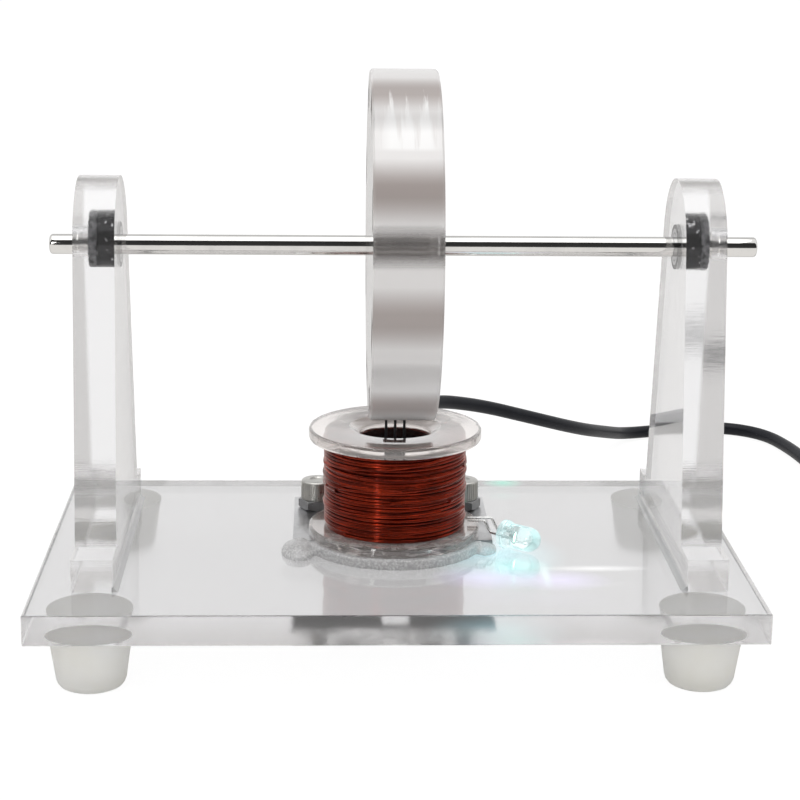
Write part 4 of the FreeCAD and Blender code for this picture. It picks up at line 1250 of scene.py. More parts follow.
@dataclass
class Stand:
    """The base plate, its feet and the two uprights."""

    low: Place = (-71.1, -43.5, 11.0)
    high: Place = (68.9, 43.5, BASE_TOP)
    screw_places: tuple[tuple[float, float], ...] = SCREW_PLACES
    screw_hole: float = 4.3
    axis_height: float = AXIS_HEIGHT
    block_half: float = 31.0
    block_top: float = 23.5
    flank_half: float = 23.0
    crown: float = 13.6
    faces: tuple[float, float] = (-55.3, 54.7)
    thickness: float = 8.0
    pocket: float = 9.1
    pocket_depth: float = 5.8
    shaft_hole: float = 5.0
    foot_x: tuple[float, float] = (-59.4, 57.2)
    foot_y: float = 34.5

    def build(self) -> None:
        """Makes all of the stand's pieces."""
        self.make_base()
        for side, face in zip(Side, self.faces):
            self.make_upright(side, face)
        self.make_feet()

    def make_base(self) -> None:
        """The sawn plate with its two screw holes and lightly broken edges."""
        plate = block("base_sheet", self.low, self.high)
        for x, y in self.screw_places:
            radius = self.screw_hole / 2
            plate.cut(turned("drill", Axis.Z, (x, y, self.low[2] - 1),
                             [(0, 0), (0, radius), (8, radius), (8, 0)], 64))
        plate.bevel(0.25, 2).smooth(9).hand_over(ACRYLIC, nodes=["base_plate"])

    def crown_places(self) -> list[tuple[float, float]]:
        """Works out the points of the round top.

        Returns:
            Their y and z, from the back flank to the front one.
        """
        rise = self.axis_height - self.block_top
        reach = math.hypot(self.flank_half, rise)
        lean = math.acos(self.crown / reach) - math.atan2(rise, self.flank_half)
        count = 48
        angles = [lean + (math.pi - 2 * lean) * step / count for step in range(count + 1)]
        return [(self.crown * math.cos(angle), self.axis_height + self.crown * math.sin(angle))
                for angle in angles]

    def make_upright(self, side: Side, face: float) -> None:
        """One upright, glued to the base, with a bearing pocket in its inner face.

        Args:
            side: which of the two it is.
            face: the x of its inner face.
        """
        floor = self.high[2] - CONTACT
        outline = [(-self.block_half, floor), (self.block_half, floor),
                   (self.block_half, self.block_top), (self.flank_half, self.block_top),
                   *self.crown_places(), (-self.flank_half, self.block_top),
                   (-self.block_half, self.block_top)]
        outward = side.value
        sheet = slab(f"{side.label}_sheet", [(face, y, z) for y, z in outline],
                     (outward * self.thickness, 0, 0))
        for width, depth in ((self.pocket, self.pocket_depth), (self.shaft_hole, 9.0)):
            radius = width / 2
            sheet.cut(turned("cutter", Axis.X, (face, 0, self.axis_height),
                             [(-outward, 0), (-outward, radius), (outward * depth, radius),
                              (outward * depth, 0)], 64))
        sheet.clean().smooth(9).hand_over(UPRIGHT_CLEAR, nodes=[f"{side.label}_upright"])

    def make_feet(self) -> None:
        """Four tapered feet with rounded bottoms."""
        top = self.low[2] + CONTACT
        for side, x in zip(Side, self.foot_x):
            for end, sign in (("front", -1), ("back", 1)):
                profile = [(0.0, 0.0), (0.0, 4.9), (0.08, 5.5), (0.35, 6.05), (0.85, 6.45),
                           (1.6, 6.72), (4.0, 7.05), (8.0, 7.65), (10.2, 8.05),
                           (10.7, 8.2), (top, 8.2), (top, 0.0)]
                foot = turned(f"silicone_foot_{end}_{side.label}", Axis.Z,
                              (x, sign * self.foot_y, 0), profile, 64)
                foot.smooth(24).hand_over(SILICONE, nodes=[f"foot_{end}_{side.label}"])


# ---------------------------------------------------------------- rotor and bearings


@dataclass
class Rotor:
    """The shaft, the clear disc and its magnets."""

    centre: Place = (0.0, 0.0, AXIS_HEIGHT)
    shaft_ends: tuple[float, float] = (-69.3, 71.1)
    disc_faces: tuple[float, float] = (-6.3, 6.9)
    shaft_radius: float = 2.0
    radius: float = 34.7
    bore: float = 2.02
    magnet_x: tuple[float, float] = (-5.9, 6.5)
    magnet_half: float = 4.0
    magnet_radii: tuple[float, float] = (28.15, 33.15)
    magnets: int = 8
    play: float = 0.05

    def build(self) -> None:
        """Makes all of the rotor's pieces."""
        self.make_shaft()
        self.make_disc()
        self.make_magnets()

    def angles(self) -> list[float]:
        """Gives each magnet's angle from straight up, in degrees."""
        pitch = 360 / self.magnets
        return [pitch * (index + 0.5) for index in range(self.magnets)]

    def make_shaft(self) -> None:
        """The polished shaft with rounded ends."""
        left, right = self.shaft_ends
        rounding = [(0.0, 0.0), (0.0, 1.45), (0.06, 1.62), (0.18, 1.8), (0.36, 1.93),
                    (0.6, self.shaft_radius)]
        profile = [(left + along, radius) for along, radius in rounding]
        profile += [(x, self.shaft_radius) for x in (-62.0, -50.0, -25.0, 0.0, 25.0, 50.0, 62.0)]
        profile += [(right - along, radius) for along, radius in reversed(rounding)]
        shaft = turned("steel_shaft", Axis.X, self.centre, profile, 64)
        shaft.smooth(40).hand_over(POLISHED, Body.ROTOR, ["shaft"])

    def make_disc(self) -> None:
        """The clear disc, bored and slotted, its edges broken."""
        left, right = self.disc_faces
        edge = 0.4
        disc = turned("clear_disc", Axis.X, self.centre, [
            (left, self.bore), (left, self.radius - edge), (left + edge, self.radius),
            (right - edge, self.radius), (right, self.radius - edge), (right, self.bore)], 160)
        low, high = self.magnet_radii
        for angle in self.angles():
            slot = block("slotter", (left - 1, -self.magnet_half - self.play, low - self.play),
                         (right + 1, self.magnet_half + self.play, high + self.play))
            disc.cut(slot.place(self.centre, angle, Axis.X))
        disc.bevel(0.08, 1, 50).smooth(9).hand_over(ROTOR_CLEAR, Body.ROTOR, ["rotor_disc"])

    def make_magnets(self) -> None:
        """The bar magnets in their slots."""
        low, high = self.magnet_radii
        bar = block("bar_magnets", (self.magnet_x[0], -self.magnet_half, low),
                    (self.magnet_x[1], self.magnet_half, high)).bevel(0.35, 2)
        first, *rest = self.angles()
        bar.place(self.centre, first, Axis.X)
        about = Matrix.Translation(metres(self.centre))
        bar.repeat(about @ Matrix.Rotation(math.radians(angle - first), 4, "X")
                   @ about.inverted() for angle in rest)
        bar.smooth(40).hand_over(NICKEL, Body.ROTOR, ["rotor_magnets"])


@dataclass
class Bearings:
    """The two ball bearings and the rough beads behind them."""

    height: float = AXIS_HEIGHT
    bead_ends: tuple[tuple[float, float], ...] = ((-61.1, -59.3), (58.7, 60.5))

    def build(self) -> None:
        """Dresses the rings, balls, cages and shields, and makes the beads."""
        for side, (start, end) in zip(Side, self.bead_ends):
            label = side.label
            dress(RACE, *(f"{label}_bearing_{part}" for part in
                          ("inner_ring", "balls", "cage", "shields")))
            dress(PAINTED_DARK_GLUED_RACE, f"{label}_bearing_outer_ring")
            self.make_bead(side, start, end)

    def make_bead(self, side: Side, start: float, end: float) -> None:
        """One lumpy bead at the pocket's blind end.

        Args:
            side: which upright it is in.
            start: the x of its left end.
            end: the x of its right end.
        """
        inner, outer, middle = 3.75, 4.5, (start + end) / 2
        profile = [(start, inner), (start, outer), (middle, outer), (end, outer),
                   (end, inner), (middle, inner)]
        bead = turned(f"{side.label}_bead", Axis.X, (0, 0, self.height), profile, 64)
        bead.modify("SUBSURF", levels=2, render_levels=2)
        bead.roughen(0.9, 0.22, f"{side.label}_bead")
        bead.smooth(50).hand_over(PAINTED_DARK_BEARING_GLUE, nodes=[f"{side.label}_bearing_glue"])


# ---------------------------------------------------------------- coil


@dataclass
class Coil:
    """The clear bobbin, its winding and the glue below it."""

    centre: tuple[float, float] = COIL_CENTRE
    foot: float = 19.0
    top: float = 41.64
    rim: float = 17.53
    core: float = 8.2
    bore: float = 7.15
    low_flange: float = 21.08
    high_flange: float = 39.28
    wire: float = 0.7
    outside: float = 14.8
    strays: int = 14
    seed: int = 5

    def build(self) -> None:
        """Makes all of the coil's pieces."""
        self.make_bobbin()
        self.make_winding()
        self.make_glue()
        dress(ENAMEL, "coil_leads")

    def make_bobbin(self) -> None:
        """The bobbin with rounded flanges and a countersunk bore."""
        rim, core, bore = self.rim, self.core, self.bore
        low, high, foot, top = self.low_flange, self.high_flange, self.foot + CONTACT, self.top
        profile = [
            (foot, bore), (foot, rim - 0.4), (foot + 0.12, rim - 0.12), (foot + 0.4, rim),
            (low - 0.5, rim), (low - 0.15, rim - 0.15), (low, rim - 0.5),
            (low, core + 0.4), (low + 0.12, core + 0.12), (low + 0.4, core),
            (high - 0.4, core), (high - 0.12, core + 0.12), (high, core + 0.4),
            (high, rim - 0.5), (high + 0.15, rim - 0.15), (high + 0.5, rim),
            (top - 0.5, rim), (top - 0.15, rim - 0.15), (top, rim - 0.5),
            (top, 9.45), (top - 0.06, 9.25), (top - 0.3, 9.0), (top - 1.1, bore + 0.25),
            (top - 1.35, bore + 0.05), (top - 1.6, bore)]
        bobbin = turned("clear_bobbin", Axis.Z, (*self.centre, 0), profile, 128)
        bobbin.smooth(20).hand_over(BOBBIN_CLEAR, nodes=["coil_bobbin"])

    def wound_line(self, turns: float, low: float, high: float, radius: float,
                   mess: float) -> list[Place]:
        """Gives one length of wire wound about the core.

        Args:
            turns: how many times it goes round.
            low: the height at which it starts.
            high: the height at which it ends.
            radius: its distance from the axis.
            mess: how far it strays from its even place.

        Returns:
            The wire's points.
        """
        steps = 20
        count = max(int(turns * steps), 4)
        start = random.uniform(0, FULL_TURN)
        drift, points = 0.0, []
        for index in range(count + 1):
            share = index / count
            angle = start + FULL_TURN * turns * share
            drift = 0.8 * drift + random.gauss(0, mess)
            z = min(max(low + (high - low) * share + drift, low - 0.1), high + 0.1)
            out = radius + random.uniform(-0.4, 0.6) * mess
            points.append((self.centre[0] + out * math.cos(angle),
                           self.centre[1] + out * math.sin(angle), z))
        return points

    def make_winding(self) -> None:
        """The outer turns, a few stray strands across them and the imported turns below."""
        random.seed(self.seed)
        low, high = self.low_flange + 0.5, self.high_flange - 0.5
        reach = self.outside - self.wire / 2
        runs = [self.wound_line((high - low) / 0.69, low, high, reach - 0.12, 0.055)]
        for _ in range(self.strays):
            start = random.uniform(low, high)
            end = min(max(start + random.uniform(-5, 5), low), high)
            runs.append(self.wound_line(random.uniform(0.35, 0.9), start, end, reach + 0.12, 0.02))
        winding = wire("wound_wire", runs, self.wire, 2)
        packed = turned("packed_turns", Axis.Z, (*self.centre, 0), [
            (low - 0.4, self.core + 0.12), (low - 0.4, reach - 0.35),
            (high + 0.4, reach - 0.35), (high + 0.4, self.core + 0.12)], 96)
        winding.absorb(packed.smooth(40))
        winding.hand_over(ENAMEL, nodes=["coil_winding"])

    def make_glue(self) -> None:
        """The clear glue that ran out below the bobbin."""
        glue = Workpiece.from_node("glue_run", "coil_glue", 0.01)
        glue.modify("REMESH", mode="VOXEL", voxel_size=0.45 * MM)
        glue.roughen(2.2, 0.35, "glue_run")
        glue.smooth(60).hand_over(GLUE, nodes=["coil_glue"])


# ---------------------------------------------------------------- small parts


def prism(name: str, sides: int, flats: float, low: float, high: float) -> Workpiece:
    """Makes a regular upright prism about the Z axis.

    Args:
        name: the piece's name.
        sides: how many sides it has.
        flats: its width across opposite sides.
        low: the height of its underside.
        high: the height of its top.

    Returns:
        The closed piece.
    """
    corner = flats / 2 / math.cos(math.pi / sides)
    angles = [FULL_TURN * index / sides for index in range(sides)]
    return slab(name, [(corner * math.cos(a), corner * math.sin(a), low) for a in angles],
                (0, 0, high - low))


def threaded(name: str, low: float, high: float, diameter: float, pitch: float,
             grow: float = 0.0) -> Workpiece:
    """Makes an upright threaded rod with a pointed start at its lower end.

    Args:
        name: the piece's name.
        low: the height of its lower end.
        high: the height of its upper end.
        diameter: its outer diameter.
        pitch: the distance between two crests.
        grow: how much wider it is all round, when it cuts a nut's thread.

    Returns:
        The closed rod.
    """
    crest, root = diameter / 2 + grow, diameter / 2 - 0.54 * pitch + grow
    count = int((high - low) / pitch) - 1
    profile = [(low, 0.0), (low, root)]
    for index in range(count):
        start = low + pitch * (index + 0.25)
        profile += [(start + 0.35 * pitch, crest), (start + 0.5 * pitch, crest),
                    (start + 0.9 * pitch, root)]
    return turned(name, Axis.Z, (0, 0, 0), profile + [(high, root), (high, 0.0)], 40)


def nut(name: str, flats: float, low: float, high: float, diameter: float,
        pitch: float) -> Workpiece:
    """Makes a hexagon nut with both faces' corners turned off and a tapped hole.

    Args:
        name: the piece's name.
        flats: its width across flats.
        low: the height of its underside.
        high: the height of its top.
        diameter: the thread's outer diameter.
        pitch: the distance between two crests.

    Returns:
        The nut.
    """
    corner, land, past = flats / math.sqrt(3), flats / 2 * 0.96, 0.01
    drop = (corner - land) * math.tan(math.radians(30))
    piece = prism(name, 6, flats, low, high)
    piece.keep_inside(turned("turning", Axis.Z, (0, 0, 0), [
        (low - past, 0.0), (low - past, land), (low + drop, corner + past),
        (high - drop, corner + past), (high + past, land), (high + past, 0.0)], 100))
    return piece.cut(threaded("tap", low - 2 * pitch, high + 2 * pitch, diameter, pitch, 0.03))


@dataclass
class Fasteners:
    """The two cap screws with their nuts, and the transistor's small screw."""

    places: tuple[tuple[float, float], ...] = SCREW_PLACES
    diameter: float = 4.0
    pitch: float = 0.7
    point: float = 5.2
    underside: float = 21.2
    top: float = 25.2
    head: float = 7.0
    knurls: int = 40
    socket: float = 3.0
    socket_deep: float = 2.2
    nut_flats: float = 7.0
    thin_nut: tuple[float, float] = (19.0, 21.2)
    low_nut: tuple[float, float] = (7.8, 11.0)
    bolt_place: Place = (-1.1, 25.6, 33.5)
    bolt_diameter: float = 3.0
    bolt_pitch: float = 0.5

    def build(self) -> None:
        """Makes all of the screws and nuts."""
        screw = self.make_cap_screw()
        thin, low = (nut(name, self.nut_flats, *heights, self.diameter, self.pitch)
                     for name, heights in (("dark_thin_nuts", self.thin_nut),
                                           ("nuts_below", self.low_nut)))
        for piece, finish, node in ((screw, SCREW, "cap_screws"), (thin, DARK_STEEL, "thin_nuts"),
                                    (low, SCREW, "base_nuts")):
            piece.spread(self.places).smooth(32).hand_over(finish, nodes=[node])
        self.make_bolt()

    def make_cap_screw(self) -> Workpiece:
        """One cap screw: knurled head with a hexagon socket on a threaded shank.

        Returns:
            The screw, upright about the Z axis.
        """
        low, high, radius, past = self.underside, self.top, self.head / 2, 0.01
        groove = radius - 0.14
        outline = []
        for index in range(self.knurls):
            for step, out in ((0, radius), (0.42, radius), (0.5, groove), (0.92, groove)):
                angle = FULL_TURN * (index + step) / self.knurls
                outline.append((out * math.cos(angle), out * math.sin(angle), low))
        head = slab("cap_screw", outline, (0, 0, high - low))
        head.keep_inside(turned("turning", Axis.Z, (0, 0, 0), [
            (low - past, 0.0), (low - past, radius - 0.16), (low + 0.15, radius + past),
            (high - 0.55, radius + past), (high - 0.22, radius - 0.12),
            (high - 0.06, radius - 0.3), (high + past, radius - 0.53), (high + past, 0.0)], 100))
        floor = high - self.socket_deep
        head.cut(prism("socket", 6, self.socket, floor, high + 1))
        head.cut(turned("lead_in", Axis.Z, (0, 0, 0), [
            (high - 0.25, 0.0), (high - 0.25, self.socket / 2), (high + 0.1, 1.9),
            (high + 0.1, 0.0)], 48))
        shank = threaded("shank", self.point, low + CONTACT, self.diameter, self.pitch)
        return head.absorb(shank)

    def make_bolt(self) -> None:
        """The small pan-head screw through the transistor's tab, with its nut."""
        _, face, height = self.bolt_place
        screw = turned("small_screw", Axis.Z, (0, 0, 0), [
            (0.0, 0.0), (0.0, 2.75), (0.5, 2.75), (1.1, 2.6), (1.6, 2.2), (1.9, 1.6), (2.0, 0.9),
            (2.0, 0.0)], 48)
        for turn in (0, 90):
            screw.cut(block("slot", (-1.5, -0.25, 1.0), (1.5, 0.25, 2.5)).place(turn=turn))
        screw.absorb(threaded("shank", -8.0, CONTACT, self.bolt_diameter, self.bolt_pitch))
        screw.place(axis=Axis.X, turn=-90).place(self.bolt_place)
        screw.smooth(32).hand_over(SCREW, nodes=["transistor_screw"])
        small = nut("small_nut", 5.5, 0.0, 2.4, self.bolt_diameter, self.bolt_pitch)
        small.place(axis=Axis.X, turn=90).place((self.bolt_place[0], face - 3.3, height))
        small.smooth(32).hand_over(SCREW, nodes=["transistor_nut"])


@dataclass
class Diode:
    """The clear light-emitting diode: its lens, what stands in it, and its two legs."""

    foot: tuple[float, float] = (21.6, -3.7)
    turn: float = -40.0
    height: float = 19.9
    radius: float = 2.5
    rim: float = 2.9
    straight: float = 6.2
    pitch: float = 2.54
    spool: tuple[float, float] = COIL_CENTRE
    spool_reach: float = 15.05

    def build(self) -> None:
        """Makes the lens, the frame with its lit chip, and the legs."""
        self.make_lens()
        self.make_frame()
        self.make_chip()

    def at(self, along: float, aside: float = 0.0, up: float = 0.0) -> Place:
        """Gives a place on the diode.

        Args:
            along: how far it is from the underside of the rim.
            aside: how far to the diode's left.
            up: how far above its middle.

        Returns:
            The place.
        """
        angle = math.radians(self.turn)
        return (self.foot[0] + along * math.cos(angle) - aside * math.sin(angle),
                self.foot[1] + along * math.sin(angle) + aside * math.cos(angle),
                self.height + up)

    def settle(self, piece: Workpiece) -> Workpiece:
        """Moves a piece that was made along X at the origin to the diode's place."""
        return piece.place(self.at(0), self.turn)

    def make_lens(self) -> None:
        """The moulded lens with its rim, a flat on the rim and a round dome."""
        dome = [(self.straight + self.radius * math.sin(angle), self.radius * math.cos(angle))
                for angle in (math.pi / 2 * step / 12 for step in range(1, 12))]
        lens = turned("diode_lens", Axis.X, (0, 0, 0), [
            (0.0, 0.0), (0.0, self.rim - 0.1), (0.1, self.rim), (0.9, self.rim),
            (1.0, self.rim - 0.1), (1.05, self.radius + 0.05), (1.2, self.radius),
            (self.straight, self.radius), *dome, (self.straight + self.radius, 0.0)], 64)
        lens.cut(block("flat", (-0.5, self.radius, -4), (1.02, self.radius + 2, 4)))
        self.settle(lens.smooth(24)).hand_over(EPOXY_CLEAR, nodes=["led_lens"])

    def make_frame(self) -> None:
        """The cup and the post in the lens, and the legs bent to the winding."""
        cup = turned("diode_frame", Axis.X, (0, 0, 0), [
            (2.3, 0.0), (2.3, 0.55), (3.2, 0.95), (3.55, 0.95), (3.55, 0.8), (3.25, 0.5),
            (3.25, 0.0)], 32).place((0, -0.35, 0))
        half = self.pitch / 2
        cup.absorb(block("anvil", (0.6, -half - 0.25, -0.25), (2.6, 0.1, 0.25)),
                   block("post", (0.6, half - 0.7, -0.25), (3.3, half + 0.25, 0.25)))
        self.settle(cup)
        runs = []
        for side in (-1, 1):
            aside = side * half
            rise = Vector(self.at(-4.0, aside, 2.2))
            inward = Vector((self.spool[0] - rise.x, self.spool[1] - rise.y, 0)).normalized()
            reach = math.hypot(rise.x - self.spool[0], rise.y - self.spool[1]) - self.spool_reach
            runs.append([self.at(0.8, aside), self.at(-0.6, aside), self.at(-2.2, aside),
                         self.at(-2.6, aside, 0.2), self.at(-3.7, aside, 1.9), tuple(rise),
                         tuple(rise + inward * 0.4), tuple(rise + inward * reach)])
        legs = wire("legs", runs, 0.5, 2)
        bond = wire("bond", [[(3.4, -0.3, 0.1), (3.9, 0.2, 0.5), (3.6, 0.8, 0.2),
                              (3.3, 0.95, 0.1)]], 0.06, 1)
        cup.absorb(legs, self.settle(bond))
        cup.smooth(40).hand_over(TINNED, nodes=["led_legs"])

    def make_chip(self) -> None:
        """The lit chip in its cup, and the little light that it throws on its neighbours."""
        chip = block("lit_chip", (3.25, -0.65, -0.3), (3.6, -0.05, 0.3)).bevel(0.05, 1)
        chip.absorb(turned("halo", Axis.X, (0, -0.35, 0), [
            (3.26, 0.0), (3.26, 0.52), (3.45, 0.66), (3.5, 0.0)], 24))
        self.settle(chip).hand_over(CHIP)
        spot = bpy.data.lights.new("diode_light", "POINT")
        spot.color, spot.energy, spot.shadow_soft_size = (0.5, 1.0, 0.92), 0.0011, 0.004
        lamp = bpy.data.objects.new("diode_light", spot)
        lamp.matrix_world = Matrix.Translation(metres(self.at(10.5, -1.0, 2.5)))
        bpy.context.scene.collection.objects.link(lamp)
        lamp.visible_camera = lamp.visible_transmission = lamp.visible_glossy = False


@dataclass
class SmallParts:
    """The sensor, the bracket and the cement along the uprights."""

    seam_half: float = 30.6
    seam_x: tuple[tuple[float, int], ...] = ((-55.3, 1), (54.7, -1))
    seam_z: float = BASE_TOP
    seam_wide: float = 1.1

    def build(self) -> None:
        """Makes and dresses the parts."""
        dress(EPOXY_BLACK, "hall_legs")
        dress(INSULATION, "hall_wires", "supply_wires")
        dress(GLUE, "hall_glue")
        sensor = Workpiece.from_node("sensor_case", "hall_sensor")
        sensor.bevel(0.12, 2).smooth(40).hand_over(EPOXY_BLACK, nodes=["hall_sensor"])
        plate = Workpiece.from_node("bent_plate", "coil_bracket", 0.05)
        plate.bevel(0.15, 2, 50).smooth(35).hand_over(BRACKET, nodes=["coil_bracket"])
        self.make_seams()

    def make_seams(self) -> None:
        """A thin bead of clear cement along each upright's inner foot."""
        for (x, inward), side in zip(self.seam_x, Side):
            wide = self.seam_wide * inward
            corners = [(x - 0.3 * inward, -self.seam_half, self.seam_z - 0.02),
                       (x + wide, -self.seam_half, self.seam_z - 0.02),
                       (x + 0.5 * wide, -self.seam_half, self.seam_z + 0.35),
                       (x + 0.12 * wide, -self.seam_half, self.seam_z + 1.0),
                       (x - 0.3 * inward, -self.seam_half, self.seam_z + 1.1)]
            bead = slab(f"cement_{side.label}", corners, (0, 2 * self.seam_half, 0))
            bead.modify("REMESH", mode="VOXEL", voxel_size=0.2 * MM)
            bead.roughen(3.0, 0.12, f"cement_{side.label}")
            bead.smooth(60).hand_over(CEMENT)


@dataclass
class Driver:
    """The transistor on the bracket's ear and the small board behind it."""

    board_top: float = 20.0
    middle_y: float = 30.3
    half_span: float = 4.0
    resistor_x: tuple[float, float] = (-13.3, -10.5)
    diode_x: float = 9.5
    leads_x: tuple[float, ...] = (-3.64, -1.1, 1.44)
    leads_y: float = 27.0
    capacitor: tuple[float, float] = (-4.5, 32.0)
    link_x: tuple[float, float] = (1.4, 4.6)
    link_y: float = 32.6

    def build(self) -> None:
        """Makes the transistor, the board and what is soldered to it."""
        self.make_transistor()
        self.make_board()
        self.make_axial("lacquered_resistors", self.resistor_x, 2.3, 6.3, 0.86, BANDED,
                        "board_resistors")
        self.make_axial("rectifier", (self.diode_x,), 2.7, 5.2, 1.0, RECTIFIER, "board_diode")
        self.make_capacitor()

    def make_transistor(self) -> None:
        """The tinned tab, the moulded case and the three leads."""
        tab = Workpiece.from_node("tinned_tab", "transistor_tab")
        tab.bevel(0.1, 1).smooth(35).hand_over(TINNED, nodes=["transistor_tab"])
        case = Workpiece.from_node("moulded_case", "transistor_case")
        case.bevel(0.2, 2)
        case.cut(turned("dimple", Axis.Z, (0, 0, 0), [
            (-0.25, 0.0), (-0.25, 0.7), (-0.15, 0.8), (1.0, 0.8), (1.0, 0.0)], 32).place(
                axis=Axis.X, turn=-90).place((-4.6, 28.8, 28.2)))
        case.smooth(35).hand_over(EPOXY_BLACK, nodes=["transistor_case"])
        leads = Workpiece.from_node("flat_leads", "transistor_leads")
        leads.bevel(0.06, 1).smooth(35).hand_over(TINNED, nodes=["transistor_leads"])

    def make_board(self) -> None:
        """The board with its tracks, solder joints and foam pads."""
        board = Workpiece.from_node("etched_board", "driver_board")
        board.bevel(0.08, 1, 50).smooth(30).hand_over(LAMINATE, nodes=["driver_board"])
        pads = Workpiece.from_node("soft_pads", "board_pads")
        pads.bevel(0.2, 2).smooth(40).hand_over(FOAM, nodes=["board_pads"])
        top = self.board_top
        places = [(x, self.leads_y) for x in self.leads_x]
        for x in (*self.resistor_x, self.diode_x):
            places += [(x, self.middle_y - self.half_span), (x, self.middle_y + self.half_span)]
        places += [(x, self.link_y) for x in self.link_x]
        cone = turned("solder_joints", Axis.Z, (0, 0, 0), [
            (top - 0.02, 0.0), (top - 0.02, 0.95), (top + 0.05, 0.92), (top + 0.16, 0.7),
            (top + 0.4, 0.48), (top + 0.62, 0.38), (top + 0.66, 0.0)], 24)
        cone.spread(places).smooth(50).hand_over(TINNED)

    def make_axial(self, name: str, across: Sequence[float], diameter: float, length: float,
                   narrow: float, finish: Finish, node: str) -> None:
        """Parts that lie along Y on two bent wires.

        Args:
            name: the piece's name.
            across: the x of each part.
            diameter: the body's diameter.
            length: the body's length.
            narrow: the width of its waist as a share of its diameter.
            finish: the body's finish.
            node: the CAD node that they stand for.
        """
        top = self.board_top
        level, radius, half = top + 0.2 + diameter / 2, diameter / 2, length / 2
        waist = radius * narrow
        body = turned(name, Axis.Y, (across[0], self.middle_y, level), [
            (-half, 0.0), (-half, radius * 0.6), (-half + 0.15, radius * 0.88),
            (-half + 0.5, radius), (-half + 1.3, radius), (-half + 1.8, waist), (0.0, waist),
            (half - 1.8, waist), (half - 1.3, radius), (half - 0.5, radius),
            (half - 0.15, radius * 0.88), (half, radius * 0.6), (half, 0.0)], 40)
        body.repeat(Matrix.Translation(metres((x - across[0], 0, 0))) for x in across[1:])
        body.smooth(40).hand_over(finish, nodes=[node])
        runs = []
        for x in across:
            for sign in (-1, 1):
                end = self.middle_y + sign * self.half_span
                runs.append([(x, self.middle_y + sign * (half - 0.3), level),
                             (x, end - sign * 0.25, level), (x, end, level - 0.05),
                             (x, end, level - 0.4), (x, end, top)])
        wire(f"{name}_wires", runs, 0.6, 2).hand_over(TINNED)

    def make_capacitor(self) -> None:
        """The small can with its crimp and its sleeve."""
        x, y = self.capacitor
        top = self.board_top
        profile = [(0.0, 0.0), (0.0, 2.4), (0.1, 2.5), (1.0, 2.5), (1.25, 2.38), (1.4, 2.25),
                   (1.55, 2.38), (1.8, 2.5), (6.7, 2.5), (6.9, 2.42), (7.0, 2.25),
                   (6.95, 2.1), (6.9, 2.0), (6.9, 0.0)]
        can = turned("capacitor_can", Axis.Z, (x, y, top), profile, 48)
        can.smooth(40).hand_over(SLEEVE, nodes=["board_capacitor"])


@dataclass
class Saddle:
    """The moulded saddle that holds the cable."""

    edge: float = 0.3

    def build(self) -> None:
        """Makes the saddle with soft edges."""
        saddle = Workpiece.from_node("cable_saddle", "cable_clip", 0.05)
        saddle.bevel(self.edge, 2, 50).smooth(35).hand_over(NYLON, nodes=["cable_clip"])


# ---------------------------------------------------------------- supply cable


@dataclass
class SupplyCable:
    """The supply cable from its clip to the plug, its unused length wound in a coil."""

    diameter: float = 3.3
    length: float = 0.868
    coil_centre: tuple[float, float] = (138.0, 85.0)
    radii: tuple[float, float, float] = (14.7, 18.0, 21.3)
    levels: tuple[float, float] = (2.35, 5.65)
    points_per_turn: int = 16

    def build(self) -> None:
        """Lays the cable and dresses what is on it."""
        dress(TIE, "coil_tie")
        dress(GRIP, "plug_grip")
        dress(PLUG_NICKEL, "plug_barrel")
        line = bpy.data.curves.new("supply_cable", "CURVE")
        line.dimensions = "3D"
        line.bevel_depth, line.bevel_resolution = self.diameter / 2 * MM, 5
        line.use_fill_caps, line.resolution_u = True, 8
        lay_spline(line, self.lead() + self.wound() + self.tail())
        item = bpy.data.objects.new("supply_cable", line)
        bpy.context.scene.collection.objects.link(item)
        hand_over(item, JACKET, nodes=["cable", "cable_coil", "cable_tail"])

    def lead(self) -> list[Place]:
        """Gives the visible length, from the clip over the floor to the coil."""
        return [(3, 35.6, 20.9), (3, 47, 20.9), (3.5, 60, 24.8), (9, 76, 27.4),
                (22.5, 88, 23.2), (37, 97, 17.5), (51, 109, 11.2), (60.5, 125.5, 5.8),
                (67, 138.5, 1.8), (80, 143, 1.7), (95, 146, 1.7), (106, 138.8, 1.7),
                (110.2, 124, 1.7), (112, 109, 1.7), (115.7, 97, 1.7)]

    def wound(self) -> list[Place]:
        """Lays the coil's turns: outside to inside below, then back out on top.

        Returns:
            The cable's points.
        """
        inner, middle, outer = self.radii
        low, high = self.levels
        stages = [(180, outer, low), (420, outer, low), (480, middle, low), (780, middle, low),
                  (840, inner, low), (1140, inner, low), (1200, inner, high),
                  (1500, inner, high), (1560, middle, high), (1860, middle, high),
                  (1920, outer, high), (2070, outer, high)]
        pitch = 360 / self.points_per_turn
        count = int((stages[-1][0] - stages[0][0]) / pitch)
        places = []
        for index in range(count):
            angle = stages[0][0] + pitch * index
            for (start, r0, z0), (end, r1, z1) in zip(stages, stages[1:]):
                if start <= angle <= end:
                    share = (angle - start) / (end - start)
                    ease = share * share * (3 - 2 * share)
                    pinch = 2 * math.sin(math.pi * share) if z0 != z1 else 0.0
                    radius = (r0 + (r1 - r0) * ease - pinch) / math.cos(
                        math.pi / self.points_per_turn)
                    height = z0 + (z1 - z0) * ease
                    break
            turn = math.radians(angle)
            places.append((self.coil_centre[0] + radius * math.cos(turn),
                           self.coil_centre[1] + radius * math.sin(turn), height))
        return places

    def tail(self) -> list[Place]:
        """Gives the end that leads from the coil to the plug."""
        return [(138, 63.7, 5.65), (150, 63.3, 5.45), (161, 67.5, 5.1), (168.5, 76.5, 5.0),
                (168.5, 85.5, 5.0)]


# ---------------------------------------------------------------- studio


